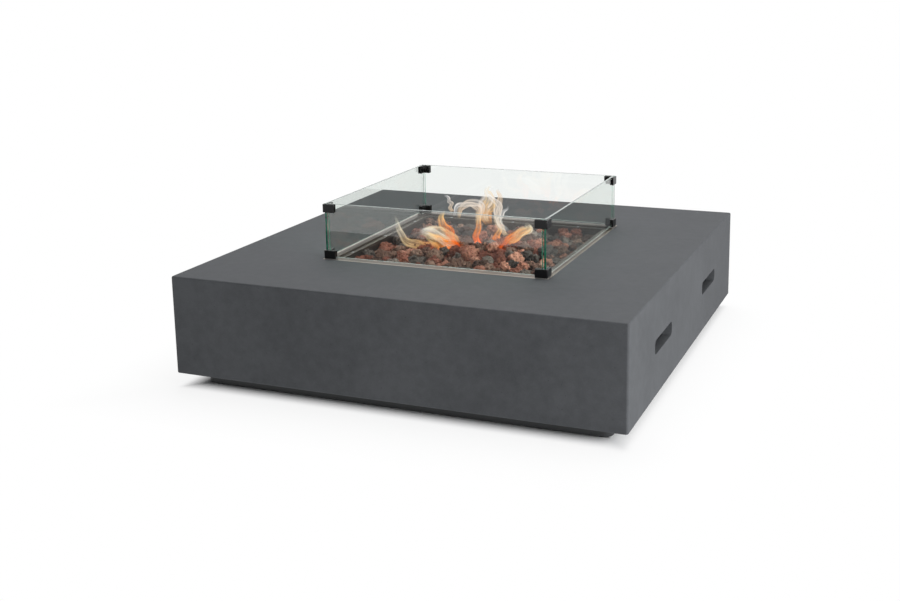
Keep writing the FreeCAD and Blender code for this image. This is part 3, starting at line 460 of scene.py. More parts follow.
def makeTable():
    half = table["half"]
    shell = addSquare("concreteTable", half, table["bottom"], table["top"])
    roundEdges(shell, 2, table["corner"], 6)
    roundRim(shell, table["top"], table["topEdge"], 5)
    roundRim(shell, table["bottom"], table["bottomEdge"], 3)
    inside = half - table["wall"]
    room = addSquare("cut", inside, table["lipTop"], table["top"] - table["topThickness"])
    roundEdges(room, 2, table["innerCorner"], 4)
    mouth = addSquare("cut", table["lipHalf"], table["bottom"] - over, table["lipTop"] + past)
    roundEdges(mouth, 2, table["innerCorner"], 4)
    hole = addSquare("cut", table["cutOutHalf"], table["top"] - table["topThickness"] - over,
                     table["top"] + over)
    rebate = addSquare("cut", table["rebateHalf"], table["top"] - table["rebate"], table["top"] + over)
    roundEdges(rebate, 2, table["rebateCorner"], 4)
    panel = addBox("cut", (-window["half"], inside - over, window["low"]),
                   (window["half"], half + over, window["high"]))
    roundEdges(panel, 1, window["corner"], 6)
    cutters = [room, mouth, hole, rebate, panel]
    for signX, signY in cornerSigns:
        xEnds = sorted((signX * (inside - over), signX * (half + over)))
        middle = signY * slots["offset"]
        slot = addBox("cut", (xEnds[0], middle - slots["length"] / 2, slots["low"]),
                      (xEnds[1], middle + slots["length"] / 2, slots["high"]))
        cutters.append(roundEdges(slot, 0, slots["corner"], 6))
    cutters.append(addRod("cut", (inletHole["x"], inside - over, inletHole["z"]),
                          (inletHole["x"], half + over, inletHole["z"]), inletHole["radius"], 40))
    cutWith(shell, cutters)
    softEdges(shell, table["slotEdge"], 3, 50)
    place(shell, [concrete], "table", "concrete", "table_shell")


makeTable()
print("table made")


# plinth: a folded channel that opens inwards

plinth = {"half": 0.488, "low": 0.003, "high": 0.034, "corner": 0.022, "sheet": 0.003, "flange": 0.040,
          "fold": 0.0009}


def makePlinth():
    band = addSquare("plinthSkirt", plinth["half"], plinth["low"], plinth["high"])
    roundEdges(band, 2, plinth["corner"], 8)
    pickFaces(band, lambda middle, normal: abs(normal.z) > 0.9)
    bpy.ops.mesh.inset(thickness=plinth["flange"], use_individual=True)
    bpy.ops.mesh.delete(type="FACE")
    done()
    useModifier(band, "SOLIDIFY", thickness=plinth["sheet"], offset=-1, use_even_offset=True)
    softEdges(band, plinth["fold"], 3, 40)
    place(band, [plinthCoat], "table", "black_steel", "plinth_frame")


makePlinth()


# steel trim and burner pan

trim = {"half": 0.283, "wallHalf": 0.2605, "ledgeHalf": 0.252, "drop": 0.008, "gauge": 0.0015,
        "arris": 0.0005, "brightEdge": 0.006}
pan = {"half": 0.250, "floor": 0.170, "rim": 0.2585, "lipHalf": 0.2598, "corner": 0.006, "gauge": 0.0015,
       "floorRound": 0.003, "arris": 0.0004, "drain": 0.2, "drainRadius": 0.006, "burnerHole": 0.0097,
       "probes": [(0.060, 0.022), (0.080, 0.022)], "probeRadius": 0.005}
panScrew = {"line": 0.256, "offsets": [-0.180, 0.0, 0.180], "radius": 0.0037, "height": 0.0022,
            "dome": 0.0012, "blade": 0.0022, "bladeWidth": 0.0004, "bladeFloor": 0.0013}


def makeTrim():
    half = trim["half"]
    bpy.ops.mesh.primitive_plane_add(size=2 * half, location=(0, 0, table["top"]))
    frameSheet = settle(bpy.context.object, "trimFrame")
    pickFaces(frameSheet, lambda middle, normal: True)
    bpy.ops.mesh.inset(thickness=trim["brightEdge"])
    bpy.ops.mesh.inset(thickness=half - trim["brightEdge"] - trim["wallHalf"])
    pullPicked(0, 0, -trim["drop"])
    bpy.ops.mesh.inset(thickness=trim["wallHalf"] - trim["ledgeHalf"])
    bpy.ops.mesh.delete(type="FACE")
    done()
    useModifier(frameSheet, "SOLIDIFY", thickness=trim["gauge"], offset=-1, use_even_offset=True)
    softEdges(frameSheet, trim["arris"], 2, 40)
    place(frameSheet, [trimSteel, darkBrownSteel, panSteel], "table", "stainless_steel", "pan_trim_frame")
    # the flange gets a darker brown steel, but for its outer edge, which keeps the lighter steel
    for face in frameSheet.data.polygons:
        inward = max(abs(face.center.x), abs(face.center.y))
        onStep = inward < trim["wallHalf"] + 0.0003
        face.material_index = 2 if onStep else 1 if inward < half - trim["brightEdge"] else 0


def makePan():
    tray = addSquare("burnerPan", pan["half"], pan["floor"], pan["rim"])
    roundEdges(tray, 2, pan["corner"], 5)
    roundRim(tray, pan["floor"], pan["floorRound"], 3)
    pickFacing(tray, 2)
    bpy.ops.mesh.delete(type="ONLY_FACE")
    done()
    pickEdges(tray, atHeight(pan["rim"]))
    bpy.ops.mesh.extrude_edges_move()
    grow = pan["lipHalf"] / pan["half"]
    bpy.ops.transform.resize(value=(grow, grow, 1))
    bpy.ops.mesh.select_all(action="SELECT")
    bpy.ops.mesh.normals_make_consistent(inside=False)
    done()
    useModifier(tray, "SOLIDIFY", thickness=pan["gauge"], offset=0.98, use_even_offset=True)
    holes = [(0, 0, pan["burnerHole"], 24)]
    holes += [(x, y, pan["probeRadius"], 20) for x, y in pan["probes"]]
    holes += [(x * pan["drain"], y * pan["drain"], pan["drainRadius"], 24) for x, y in cornerSigns]
    cutWith(tray, [addRod("cut", (x, y, pan["floor"] - over), (x, y, pan["floor"] + over), radius, sides)
                   for x, y, radius, sides in holes])
    softEdges(tray, pan["arris"], 2, 40)
    place(tray, [panSteel], "table", "stainless_steel", "burner_pan")


def makePanScrews():
    low = pan["rim"]
    x, y = 0.0, -panScrew["line"]
    head = addRod("head", (x, y, low), (x, y, low + panScrew["height"]), panScrew["radius"], 20)
    pickFacing(head, 2)
    roundPicked(head, panScrew["dome"], 3)
    long, wide, floorHeight = panScrew["blade"], panScrew["bladeWidth"], low + panScrew["bladeFloor"]
    cutWith(head, [addBox("cut", (x - a, y - b, floorHeight), (x + a, y + b, low + 2 * panScrew["height"]))
                   for a, b in ((long, wide), (wide, long))])
    smooth(head, 35)
    copies = []
    for side in range(4):
        turn = Matrix.Rotation(math.radians(90 * side), 4, "Z")
        copies += [copied(head, "screw", turn @ Matrix.Translation((offset, 0, 0)))
                   for offset in panScrew["offsets"]]
    bpy.data.objects.remove(head)
    place(joined("panScrews", copies), [zincPlate], "table", "stainless_steel", "pan_screws")


makeTrim()
makePan()
makePanScrews()
print("plinth, trim and pan made")


# lava rocks

stones = {"kinds": 9, "seed": 41, "bottom": 0.2075, "half": 0.2485, "tries": 20, "most": 760, "misses": 140,
          "wallTop": 0.2555, "heapTop": 0.274, "heapMiddle": (0.02, -0.01), "heapReach": 0.27,
          "sizes": [(0.58, 0.0118, 0.0158), (0.30, 0.0158, 0.0205), (0.12, 0.0205, 0.0290)],
          "triangles": 900, "overlap": 0.88, "proud": 0.004,
          "shares": {"lavaStonesRust": 0.44, "lavaStonesBrown": 0.32, "lavaStonesGrey": 0.24}}


# one craggy stone of radius 1: a ball pushed in and out by coarse, middling and fine cloud patterns
def makeStoneKind(number):
    bpy.ops.mesh.primitive_ico_sphere_add(subdivisions=5, radius=1.0, location=(6.0 * number, 3.0, 0))
    stone = bpy.context.object
    bumps = [("CLOUDS", 0.95, 0.75), ("VORONOI", 0.6, -0.5), ("CLOUDS", 0.3, 0.34), ("VORONOI", 0.19, -0.2)]
    for order, (kind, size, strength) in enumerate(bumps):
        pattern = bpy.data.textures.new(f"crag{number}{order}", kind)
        pattern.noise_scale = size
        useModifier(stone, "DISPLACE", texture=pattern, texture_coords="GLOBAL", strength=strength,
                    mid_level=0.5)
    useModifier(stone, "DECIMATE", ratio=stones["triangles"] / len(stone.data.polygons))
    stone.location = (0, 0, 0)
    settle(stone, f"stoneKind{number}")
    reach = sum(v.co.length for v in stone.data.vertices) / len(stone.data.vertices)
    stone.data.transform(Matrix.Scale(1 / reach, 4))
    only(stone)
    bpy.ops.object.shade_smooth()
    return stone


# drops balls one by one into the pan, each to the lowest of a few places tried
def dropStones(chance):
    placed = np.zeros((0, 4))
    misses = 0
    while len(placed) < stones["most"] and misses < stones["misses"]:
        _, low, high = chance.choices(stones["sizes"], [share for share, _, _ in stones["sizes"]])[0]
        radius = chance.uniform(low, high)
        best = None
        for _ in range(stones["tries"]):
            x, y = [chance.uniform(-1, 1) * (stones["half"] - radius) for _ in range(2)]
            height = stones["bottom"] + radius
            if len(placed):
                apart = np.hypot(placed[:, 0] - x, placed[:, 1] - y)
                reach = (placed[:, 3] + radius) * stones["overlap"]
                near = apart < reach
                if near.any():
                    tops = placed[near, 2] + np.sqrt(reach[near] ** 2 - apart[near] ** 2)
                    height = max(height, float(tops.max()))
            away = math.dist((x, y), stones["heapMiddle"]) / stones["heapReach"]
            rise = max(0.0, 1 - away ** 2)
            allowed = stones["wallTop"] + (stones["heapTop"] - stones["wallTop"]) * rise
            spare = allowed - (height + radius)
            if spare > -stones["proud"] and (best is None or height < best[2]):
                best = (x, y, height, radius)
        if best is None:
            misses += 1
        else:
            placed = np.vstack([placed, best])
    return placed


def makeStones():
    chance = random.Random(stones["seed"])
    kinds = [makeStoneKind(k) for k in range(stones["kinds"])]
    spots = dropStones(chance)
    groups = {name: [] for name in stones["shares"]}
    for x, y, z, radius in spots:
        kind = chance.choice(kinds)
        around, tipped = [Matrix.Rotation(chance.uniform(0, 6.283), 4, axis) for axis in "ZX"]
        spread = [chance.uniform(0.86, 1.14) for _ in range(3)]
        shape = Matrix.Diagonal((*[radius * s for s in spread], 1))
        # a stone lies flatter than it is wide
        lie = Matrix.Diagonal((1.05, 1.05, 0.92, 1))
        stone = copied(kind, "stone", Matrix.Translation((x, y, z)) @ lie @ around @ tipped @ shape)
        toneLayer = stone.data.attributes.new("stoneTone", "FLOAT", "POINT")
        tone = min(1.0, max(0.0, chance.gauss(0.45, 0.26)))
        toneLayer.data.foreach_set("value", [tone] * len(stone.data.vertices))
        groups[chance.choices(list(groups), stones["shares"].values())[0]].append(stone)
    for kind in kinds:
        bpy.data.objects.remove(kind)
    for name, members in groups.items():
        heap = joined(name, members)
        place(heap, [stoneLooks[name]], "table", "lava_rock", "lava_rocks")
        print(name, len(members), "stones", len(heap.data.polygons), "faces")


makeStones()


# glass guard

guard = {"half": 0.2805, "base": 0.266, "top": 0.398, "glass": 0.005, "jaw": 0.004, "leg": 0.030,
         "height": 0.020, "floor": 0.004, "proud": 0.0015, "gap": 0.004, "arris": 0.0006,
         "cornerRound": 0.0025, "edgeRound": 0.0008, "screwRadius": 0.0023, "screwWall": 0.0009,
         "screwSocket": 0.0014, "screwProud": 0.0004, "screwInset": 0.008}
guard["outer"] = guard["half"] - guard["jaw"]
guard["inner"] = guard["outer"] - guard["glass"]
guard["clampInner"] = guard["inner"] - guard["jaw"]


def makePane(side):
    low, high = guard["base"] + guard["floor"], guard["top"] + guard["proud"]
    outer, inner = guard["outer"], guard["inner"]
    # the front and rear panes stand between the other two
    between = inner - guard["gap"]
    xEnds, yEnds = {"front": ((-between, between), (-outer, -inner)),
                    "rear": ((-between, between), (inner, outer)),
                    "left": ((-outer, -inner), (-outer, outer)),
                    "right": ((inner, outer), (-outer, outer))}[side]
    pane = addBox(f"glassPane{side.title()}", (xEnds[0], yEnds[0], low), (xEnds[1], yEnds[1], high))
    useModifier(pane, "BEVEL", width=guard["arris"], segments=1, limit_method="ANGLE")
    place(pane, [glassFace, glassEdge, glassTopEdgePaintedSky], "glass_guard", "clear_glass", f"guard_glass_{side}")
    across = 1 if side in ("front", "rear") else 0
    for face in pane.data.polygons:
        onFace = abs(face.normal[across]) > 0.99
        face.material_index = 0 if onFace else 2 if abs(face.normal.z) > 0.5 else 1


# corner clamp, made at the rear right corner: two jaws a side, with the panes' slots between them
def makeClamp(low, slotLow, slotHigh):
    half, start = guard["half"], guard["half"] - guard["leg"]
    high = low + guard["height"]
    clamp = addBox("clamp", (start, start, low), (half, half, high))
    pickEdges(clamp, lambda a, b: min(a.x, a.y, b.x, b.y) > half - 1e-5)
    roundPicked(clamp, guard["cornerRound"], 4)
    inside, inner, outer = guard["clampInner"], guard["inner"], guard["outer"]
    cutWith(clamp, [
        addBox("cut", (start - over, start - over, low - over), (inside, inside, high + over)),
        addBox("cut", (inner, start - over, slotLow), (outer, outer, slotHigh)),
        addBox("cut", (start - over, inner, slotLow), (inner - guard["gap"], outer, slotHigh))])
    softEdges(clamp, guard["edgeRound"], 3, 40)
    return clamp


def makeSetScrew(start, end):
    screw = addRod("setScrew", start, end, guard["screwRadius"], 20)
    along = (Vector(start) - Vector(end)).normalized()
    pickFaces(screw, lambda middle, normal: normal.dot(along) > 0.9)
    bpy.ops.mesh.inset(thickness=guard["screwWall"])
    pullPicked(*(-along * guard["screwSocket"]))
    done()
    return smooth(screw, 35)


def makeGuard():
    for side in ("front", "right", "rear", "left"):
        makePane(side)
    names = ["rear_right", "rear_left", "front_left", "front_right"]
    base, top, height = guard["base"], guard["top"], guard["height"]
    lower = makeClamp(base, base + guard["floor"], base + height + over)
    upper = makeClamp(top - height, top - height - over, top + over)
    screws, allScrews = [], []
    middle = guard["half"] - guard["leg"] + guard["screwInset"]
    head, tip = guard["clampInner"] - guard["screwProud"], guard["inner"]
    for z in (base + (guard["floor"] + height) / 2, top - height / 2):
        screws += [makeSetScrew((middle, head, z), (middle, tip, z)),
                   makeSetScrew((head, middle, z), (tip, middle, z))]
    for (signX, signY), corner in zip(cornerSigns, names):
        mirror = Matrix.Diagonal((signX, signY, 1, 1))
        for part, kind, label in ((lower, "guard_foot", "Foot"), (upper, "guard_cap", "Cap")):
            clamp = copied(part, f"clamp{label}{corner.title().replace('_', '')}", mirror)
            place(clamp, [clampCoat], "glass_guard", "black_bracket", f"{kind}_{corner}")
        allScrews += [copied(screw, "screw", mirror) for screw in screws]
    for part in [lower, upper, *screws]:
        bpy.data.objects.remove(part)
    place(joined("clampSetScrews", allScrews), [blackOxide], "glass_guard", "black_screws",
          "bracket_set_screws")


makeGuard()
print("guard made")


# controls and gas inlet in the rear wall

controls = {"z": 0.146, "wall": 0.514, "spindle": 0.00403, "arris": 0.0004,
            "knob": {"x": -0.038, "low": 0.5205, "front": 0.5335, "radius": 0.022, "skirt": 0.005,
                     "grip": 0.0175, "taper": 0.97, "flutes": 12, "fluteLine": 0.0184,
                     "fluteRadius": 0.002, "fluteGap": 0.0005, "bore": 0.5285, "pointer": (0.003, 0.016),
                     "pointerHalf": 0.0009, "pointerDeep": 0.0012},
            "bezel": {"radius": 0.026, "hole": 0.020, "sheet": 0.0018, "marks": 7, "sweep": 180,
                      "markLine": 0.0242, "markDeep": 0.0004, "markGrows": 0.00008, "arris": 0.0003},
            "button": {"x": 0.042, "low": 0.511, "front": 0.526, "radius": 0.011, "rim": 0.0016,
                       "ring": 0.0024, "dish": 0.0006},
            "barrel": {"end": 0.440, "radius": 0.0125, "collar": 0.016, "front": 0.518, "bore": 0.01105,
                       "boreFloor": 0.505, "terminal": 0.0025, "terminalEnd": 0.432, "cell": 0.0076,
                       "cellFloor": 0.446}}
inlet = {"x": 0.230, "z": 0.100, "back": 0.495, "front": 0.533, "body": 0.007, "hexAcross": 0.022,
         "hexHeight": 0.005, "neck": 0.0016, "thread": 0.00658, "root": 0.0058, "pitch": 0.0018,
         "bore": 0.003, "arris": 0.0002}


def alongY(name, x, z, start, end, radius, sides=48):
    return addRod(name, (x, start, z), (x, end, z), radius, sides)


def onCircle(x, radius, degrees):
    angle = math.radians(degrees)
    return x + radius * math.cos(angle), controls["z"] + radius * math.sin(angle)


def makeKnob():
    knob, z = controls["knob"], controls["z"]
    x, front = knob["x"], knob["front"]
    skirtEnd = knob["low"] + knob["skirt"]
    turned = alongY("controlKnob", x, z, knob["low"], skirtEnd, knob["radius"], 72)
    pickFacing(turned, 1)
    bpy.ops.mesh.inset(thickness=knob["radius"] - knob["grip"])
    pullPicked(0, front - skirtEnd, 0)
    bpy.ops.transform.resize(value=(knob["taper"], 1, knob["taper"]), center_override=(x, front, z))
    done()
    turns = [(k + 0.5) * 360 / knob["flutes"] for k in range(knob["flutes"])]
    flutes = [alongY("cut", *onCircle(x, knob["fluteLine"], turn), skirtEnd + knob["fluteGap"],
                     front + past, knob["fluteRadius"], 16) for turn in turns]
    grooveFloor, wide, (start, end) = front - knob["pointerDeep"], knob["pointerHalf"], knob["pointer"]
    pointer = addBox("cut", (x - wide, grooveFloor, z + start), (x + wide, front + 2 * past, z + end))
    bore = alongY("cut", x, z, knob["low"] - past, knob["bore"], controls["spindle"], 32)
    cutWith(turned, [joined("cut", flutes), pointer, bore])
    softEdges(turned, controls["arris"], 2, 35)
    place(turned, [knobPlastic, pointerPaint], "control_knob", "black_plastic", "control_knob")
    for face in turned.data.polygons:
        inGroove = abs(face.center.x - x) < wide + 0.0001 and face.center.z > z + start - 0.001
        face.material_index = 1 if inGroove and abs(face.center.y - grooveFloor) < 2e-5 else 0


# ring round the knob, with a row of punched marks for low to high flame
def makeBezel():
    bezel, z, x = controls["bezel"], controls["z"], controls["knob"]["x"]
    low, front = controls["wall"], controls["wall"] + bezel["sheet"]
    ring = alongY("knobBezel", x, z, low, front, bezel["radius"], 72)
    hole = alongY("cut", x, z, low - past, front + past, bezel["hole"], 72)
    marks = []
    for k in range(bezel["marks"]):
        spot = onCircle(x, bezel["markLine"], k * bezel["sweep"] / (bezel["marks"] - 1))
        marks.append(alongY("cut", *spot, front - bezel["markDeep"], front + past,
                            bezel["markDeep"] + bezel["markGrows"] * k, 16))
    cutWith(ring, [hole, joined("cut", marks)])
    softEdges(ring, bezel["arris"], 2, 35)
    place(ring, [plinthCoat], "table", "black_steel", "knob_bezel")


def makeIgniter():
    button, barrel, z = controls["button"], controls["barrel"], controls["z"]
    x = button["x"]
    cap = alongY("igniterButton", x, z, button["low"], button["front"], button["radius"], 64)
    pickFacing(cap, 1)
    roundPicked(cap, button["rim"], 4)
    pickFaces(cap, lambda middle, normal: normal.y > 0.99)
    for step in range(3):
        bpy.ops.mesh.inset(thickness=button["ring"])
        bpy.ops.transform.translate(value=(0, -button["dish"] / (step + 1), 0))
    done()
    smooth(cap, 40)
    place(cap, [buttonPlastic], "igniter_button", "button_plastic", "igniter_button")

    wall, front, end = controls["wall"], barrel["front"], barrel["end"]
    housing = alongY("igniterHousing", x, z, end, wall, barrel["radius"], 64)
    pickFacing(housing, 1)
    pullPicked(0, 0, 0)
    grow = barrel["collar"] / barrel["radius"]
    bpy.ops.transform.resize(value=(grow, 1, grow), center_override=(x, wall, z))
    pullPicked(0, front - wall, 0)
    done()
    pickFaces(housing, lambda middle, normal: normal.y < -0.9 and middle.y < end + 0.001)
    bpy.ops.mesh.inset(thickness=barrel["radius"] - barrel["terminal"])
    pullPicked(0, barrel["terminalEnd"] - end, 0)
    done()
    cutWith(housing, [alongY("cut", x, z, barrel["boreFloor"], front + past, barrel["bore"], 64),
                      alongY("cut", x, z, barrel["cellFloor"], barrel["boreFloor"] + past, barrel["cell"])])
    softEdges(housing, controls["arris"], 2, 35)
    place(housing, [knobPlastic], "table", "black_plastic", "igniter_housing")


# brass bulkhead fitting: a hexagon against the wall plate and a threaded stub for the hose nut
def makeInlet():
    x, z, wall = inlet["x"], inlet["z"], controls["wall"]
    neck, hexEnd = inlet["neck"], wall + inlet["hexHeight"]
    body = alongY("gasInletFitting", x, z, inlet["back"], wall, inlet["body"])
    hexagon = alongY("hexagon", x, z, wall, hexEnd, inlet["hexAcross"] / math.sqrt(3), 6)
    stub = alongY("stub", x, z, hexEnd, hexEnd + neck, inlet["root"])
    turns = int((inlet["front"] - hexEnd - neck) / inlet["pitch"])
    rise = (inlet["front"] - hexEnd - neck) / turns
    grow = inlet["thread"] / inlet["root"]
    pickFacing(stub, 1)
    # each turn of the thread: a flank outwards, a narrow crest and a flank back
    for size, part in ((grow, 0.4), (1.0, 0.15), (1 / grow, 0.45)) * turns:
        pullPicked(0, rise * part, 0)
        bpy.ops.transform.resize(value=(size, 1, size), center_override=(x, 0, z))
    done()
    cutWith(body, [hexagon, stub], "UNION")
    cutWith(body, [alongY("cut", x, z, inlet["back"] - past, inlet["front"] + past, inlet["bore"], 32)])
    softEdges(body, inlet["arris"], 2, 35)
    place(body, [turnedBrass], "table", "brass", "gas_inlet_fitting")


makeKnob()
makeBezel()
makeIgniter()
makeInlet()
print("controls made")


# burning gas, set dressing and not part of the object

# each flame is a veil: its gas, its seed, how far it stands towards the front, and a line of points
# (along the front view, height, width); these and the lamps in the glow are in millimetres
flames = {
    "turn": 21.97, "columns": 10, "rows": 60, "spread": 1.5,
    "ripple": 0.006, "rippleRate": 5.0, "curl": 0.012, "curlRate": 4.0,
    "gases": {"amber": {"ramp": ["#ff4a08", "#ff8a1e", "#ffd894"], "power": 1.0, "solid": 1.5},
              "cream": {"ramp": ["#ffa244", "#fbd7a0", "#fff4dc"], "power": 0.95, "solid": 1.15},
              "wisp": {"ramp": ["#f8cf9c", "#fdeedd", "#ffffff"], "power": 0.9, "solid": 1.3}},
    "veils": [
        ("cream", 5, 20, [(-95, 262, 10), (-140, 262, 16), (-178, 278, 14), (-195, 305, 10),
                          (-203, 340, 3)]),
        ("amber", 11, 50, [(-42, 258, 18), (-70, 266, 26), (-100, 280, 24), (-136, 298, 8)]),
        ("cream", 23, 45, [(-46, 270, 10), (-66, 288, 20), (-90, 296, 26), (-118, 304, 20),
                           (-146, 300, 5)]),
        ("wisp", 29, 40, [(-50, 262, 8), (-78, 276, 18), (-112, 298, 16), (-142, 310, 4)]),
        ("amber", 31, -20, [(-60, 250, 16), (-72, 285, 18), (-88, 315, 14), (-84, 342, 2)]),
        ("amber", 37, 0, [(2, 246, 12), (-1, 280, 12), (4, 318, 9), (0, 345, 3)]),
        ("wisp", 41, 0, [(0, 310, 8), (4, 345, 12), (-20, 362, 10), (-50, 352, 8), (-58, 328, 3)]),
        ("cream", 43, -30, [(30, 300, 12), (22, 335, 26), (34, 362, 24), (24, 388, 10), (40, 405, 2)]),
        ("wisp", 47, -10, [(62, 290, 8), (48, 318, 10), (55, 350, 12), (34, 376, 8), (10, 388, 2)]),
        ("wisp", 53, 10, [(76, 282, 8), (58, 305, 10), (62, 335, 8), (78, 358, 3)]),
        ("amber", 59, 30, [(58, 240, 20), (76, 262, 22), (96, 284, 20), (124, 300, 14), (130, 314, 3)]),
        ("cream", 61, 25, [(78, 262, 10), (100, 286, 16), (126, 302, 18), (128, 318, 4)]),
        ("amber", 67, -20, [(50, 238, 14), (46, 262, 14), (56, 286, 10), (60, 302, 2)]),
        ("wisp", 73, -35, [(24, 306, 8), (16, 340, 22), (30, 370, 24), (36, 400, 4)]),
        ("wisp", 79, -30, [(52, 392, 4), (58, 366, 10), (50, 332, 14), (62, 298, 10), (80, 280, 3)]),
        ("wisp", 83, -10, [(-46, 322, 4), (-40, 348, 10), (-14, 364, 14), (12, 350, 10), (8, 318, 4)]),
        ("wisp", 71, -30, [(-62, 335, 6), (-68, 358, 8), (-80, 380, 2)]),
    ],
    "glows": [(-75, 50, 262), (0, 0, 262), (68, 30, 255)],
    "glow": 0.22, "glowColour": (1.0, 0.45, 0.15), "glowSize": 0.012,
}


def makeFlameMaterial(kind):
    gas = flames["gases"][kind]
    material, tree, coords = newMaterial(f"burningGas{kind.title()}", "UV")
    parts = addNode(tree, "SeparateXYZ", {0: coords})
    stretch = addNode(tree, "Mapping", {"Vector": coords, "Scale": (2.0, 1.2, 1.0)})
    streaks = addNode(tree, "TexNoise", {"Vector": stretch, "Scale": 1.6, "Detail": 3.0, "Distortion": 1.2})
    colour = addNode(tree, "ValToRGB", {"Fac": parts.outputs[1]}, list(zip((0.0, 0.45, 0.85), gas["ramp"])))
    # thin out towards both sides and both ends, and in streaks between
    across = addNode(tree, "ValToRGB", {"Fac": parts.outputs[0]},
                     [(0.0, 0.0), (0.16, 0.9), (0.5, 0.5), (0.84, 1.0), (1.0, 0.0)])
    along = addNode(tree, "ValToRGB", {"Fac": parts.outputs[1]},
                    [(0.0, 0.0), (0.14, 1.0), (0.7, 0.9), (1.0, 0.0)])
    veil = addNode(tree, "ValToRGB", {"Fac": streaks}, [(0.32, 0.12), (0.6, 1.0)])
    both = addNode(tree, "Math", {0: across, 1: along}, operation="MULTIPLY")
    share = addNode(tree, "Math", {0: both, 1: veil}, operation="MULTIPLY")
    cover = addNode(tree, "Math", {0: share, 1: gas["solid"]}, operation="MULTIPLY", use_clamp=True)
    lit = addNode(tree, "Emission", {"Color": colour, "Strength": gas["power"]})
    clear = addNode(tree, "BsdfTransparent")
    return finishMaterial(material, "MixShader", {"Fac": cover, 1: clear, 2: lit})


# a smooth line through the points, and its direction, at t from 0 to 1
def alongLine(points, t):
    spans = len(points) - 1
    span = min(int(t * spans), spans - 1)
    u = t * spans - span
    a, b, c, d = (Vector(points[min(max(span + k, 0), spans)]) for k in (-1, 0, 1, 2))
    first, second, third = c - a, 2 * a - 5 * b + 4 * c - d, 3 * b - a - 3 * c + d
    spot = 0.5 * (2 * b + first * u + second * u * u + third * u ** 3)
    way = 0.5 * (first + 2 * second * u + 3 * third * u * u)
    return spot, way


def makeFlames():
    gases = {kind: makeFlameMaterial(kind) for kind in flames["gases"]}
    turn = Matrix.Rotation(math.radians(flames["turn"]), 4, "Z")
    for number, (kind, seed, near, points) in enumerate(flames["veils"]):
        near, line = near / 1000, [Vector(point) / 1000 for point in points]
        bpy.ops.mesh.primitive_grid_add(x_subdivisions=flames["columns"], y_subdivisions=flames["rows"],
                                        size=1)
        veil = bpy.context.object
        for vertex in veil.data.vertices:
            u, t = vertex.co.x + 0.5, vertex.co.y + 0.5
            spot, way = alongLine(line, min(t, 0.9999))
            # the line's points are (along, height, width), and a veil's width lies across its flow
            flow = Vector((way.x, 0, way.y)).normalized()
            ripple = noise.noise(Vector((seed * 1.7, t * flames["rippleRate"], 0.0))) * flames["ripple"]
            curl = noise.noise(Vector((seed * 2.3, t * flames["curlRate"], u * 2.0))) * flames["curl"]
            aside = (u - 0.5) * spot.z * flames["spread"] + ripple
            vertex.co = turn @ Vector((spot.x + flow.z * aside, curl - near, spot.y - flow.x * aside))
        smooth(veil, 80)
        veil.name = f"flame{number}"
        paint(veil, gases[kind])
    for number, (along, near, height) in enumerate(flames["glows"]):
        lamp = addLamp(f"glow{number}", "POINT", turn @ Vector((along, -near, height)) / 1000,
                       energy=flames["glow"], color=flames["glowColour"],
                       shadow_soft_size=flames["glowSize"])
        # only its light is wanted: the lamp itself would show as a ball
        lamp.visible_camera = lamp.visible_glossy = lamp.visible_transmission = False


makeFlames()
print("flames made")


# CAD nodes that are kept, with their finishes

# what their names start with; a later line overrules an earlier one
finishes = [
    (plinthCoat, ["plinth_rails", "inlet_plate", "control_panel"]),
    (zincPlate, ["plinth_bolts", "plinth_nuts", "clamp_jack_screws", "burner_locknut", "inlet_locknut",
                 "wall_screws", "valve_spindle", "spindle_collar", "igniter_nut", "trim_clamp"]),
    (burnerSteel, ["grate_frame", "grate_bars", "burner_ring", "burner_stands", "thermocouple",
                   "sensor_bracket"]),
    (turnedBrass, ["air_mixer", "gas_injector"]), (castAlloy, ["gas_pipe", "gas_valve", "supply_pipe"]),
    (cellJacket, ["igniter_battery"]), (leadSleeve, ["ignition_lead"]),
    (glazedCeramic, ["ignition_electrode"]), (copperTube, ["thermocouple_lead"]),
    (clearPad, ["guard_pads"]), (padRubber, ["foot_pad"]),
]
for finish, starts in finishes:
    for name, node in nodes.items():
        if name.startswith(tuple(starts)):
            paint(node, finish)


# floor, light and camera

light = {"world": 0.04, "walls": 1.0,
         "sky": {"power": 202, "size": 5.0, "place": (-0.3, 1.7, 4.2), "aim": (0.0, 0.3, 0.2)},
         "key": {"power": 92, "size": 1.5, "place": (2.75, -1.15, 0.95), "aim": (0.5, -0.25, 0.15)}}
camera = {"lens": 48.05, "shift": (-0.033, -0.112), "place": (1.111, -2.713, 0.977),
          "turn": (78.33, 0.79, 21.97)}
# paper that glows from beneath, as a product table does; its glow fades out towards the object, a painted
# shadow round it, and right under the object it is dark grey, painted shade; places are shares of the
# reach, out from the middle
floor = {"size": 400.0, "white": "#fafbfc", "base": "#1a1a1a", "paintedShadeEnds": (0.239, 0.242),
         "reach": 2.0, "glow": [(0.245, 0.0), (0.268, 0.85), (0.38, 1.0)]}
white = (1, 1, 1, 1)


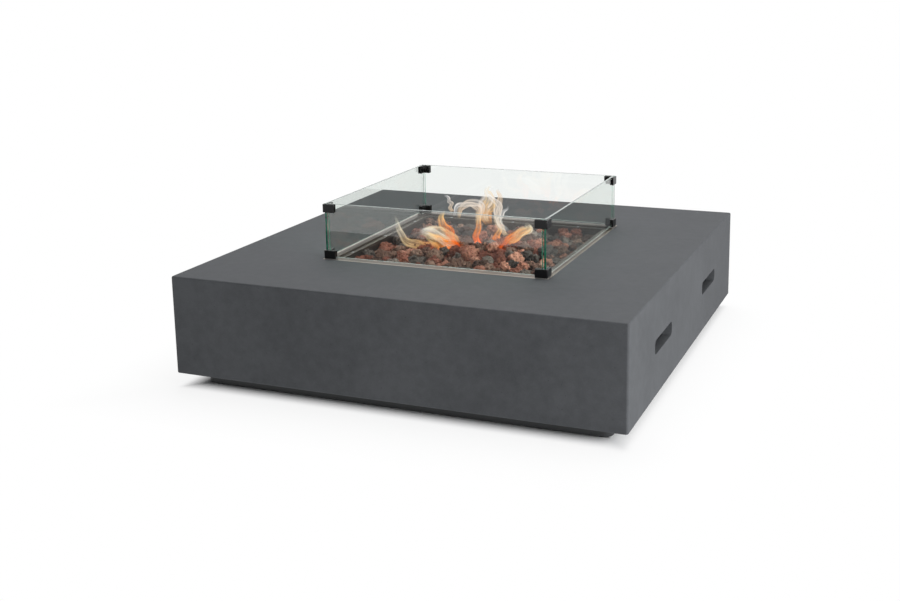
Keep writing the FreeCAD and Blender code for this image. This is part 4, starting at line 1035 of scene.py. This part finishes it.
def makeFloor():
    bpy.ops.mesh.primitive_plane_add(size=floor["size"], location=(0, 0, 0))
    ground = settle(bpy.context.object, "floor")
    material, tree, coords = newMaterial("studioFloor")
    parts = addNode(tree, "SeparateXYZ", {0: coords})
    across, along = [addNode(tree, "Math", {0: parts.outputs[k]}, operation="ABSOLUTE") for k in (0, 1)]
    away = addNode(tree, "Math", {0: across, 1: along}, operation="MAXIMUM")
    reach = addNode(tree, "Math", {0: away, 1: floor["reach"]}, operation="DIVIDE")
    # the glow fades out towards the object, so the floor darkens round it: a painted shadow
    paintedShadowFade = addNode(tree, "ValToRGB", {"Fac": reach}, floor["glow"])
    # dark grey right under the object: painted shade that keeps the gap under the plinth and the inside of
    # the table dark
    tone = addNode(tree, "ValToRGB", {"Fac": reach},
                   list(zip(floor["paintedShadeEnds"], (floor["base"], floor["white"]))))
    paper = addNode(tree, "BsdfPrincipled",
                    {"Base Color": tone, "Roughness": 0.9, "Specular IOR Level": 0.1})
    glow = addNode(tree, "Emission", {"Color": white, "Strength": 1.0})
    paint(ground, finishMaterial(material, "MixShader", {"Fac": paintedShadowFade, 1: paper, 2: glow}))


def makeStudio():
    makeFloor()
    for name in ("sky", "key"):
        look = light[name]
        lamp = addLamp(f"{name}Lamp", "AREA", look["place"], shape="SQUARE", size=look["size"],
                       energy=look["power"])
        way = Vector(look["aim"]) - Vector(look["place"])
        lamp.rotation_euler = way.to_track_quat("-Z", "Y").to_euler()
    world = bpy.data.worlds.new("studio")
    bpy.context.scene.world = world
    world.use_nodes = True
    tree = world.node_tree
    tree.nodes.clear()
    path = addNode(tree, "LightPath")
    # pale walls around the set, which glass and metal mirror but which add little light
    power = addNode(tree, "Math", {0: path.outputs["Is Glossy Ray"], 1: light["walls"], 2: light["world"]},
                    operation="MULTIPLY_ADD")
    room = addNode(tree, "Background", {"Color": white, "Strength": power})
    paper = addNode(tree, "Background", {"Color": white, "Strength": 1.0})
    seen = addNode(tree, "Math", {0: path.outputs["Is Camera Ray"], 1: path.outputs["Is Transmission Ray"]},
                   operation="MAXIMUM")
    shown = addNode(tree, "MixShader", {"Fac": seen, 1: room, 2: paper})
    addNode(tree, "OutputWorld", {"Surface": shown})


def makeCamera():
    data = bpy.data.cameras.new("camera")
    data.lens = camera["lens"]
    data.shift_x, data.shift_y = camera["shift"]
    eye = addObject("camera", data, camera["place"])
    eye.rotation_euler = [math.radians(a) for a in camera["turn"]]
    bpy.context.scene.camera = eye


makeStudio()
makeCamera()
bpy.context.scene.view_settings.view_transform = "Standard"
print("studio made")
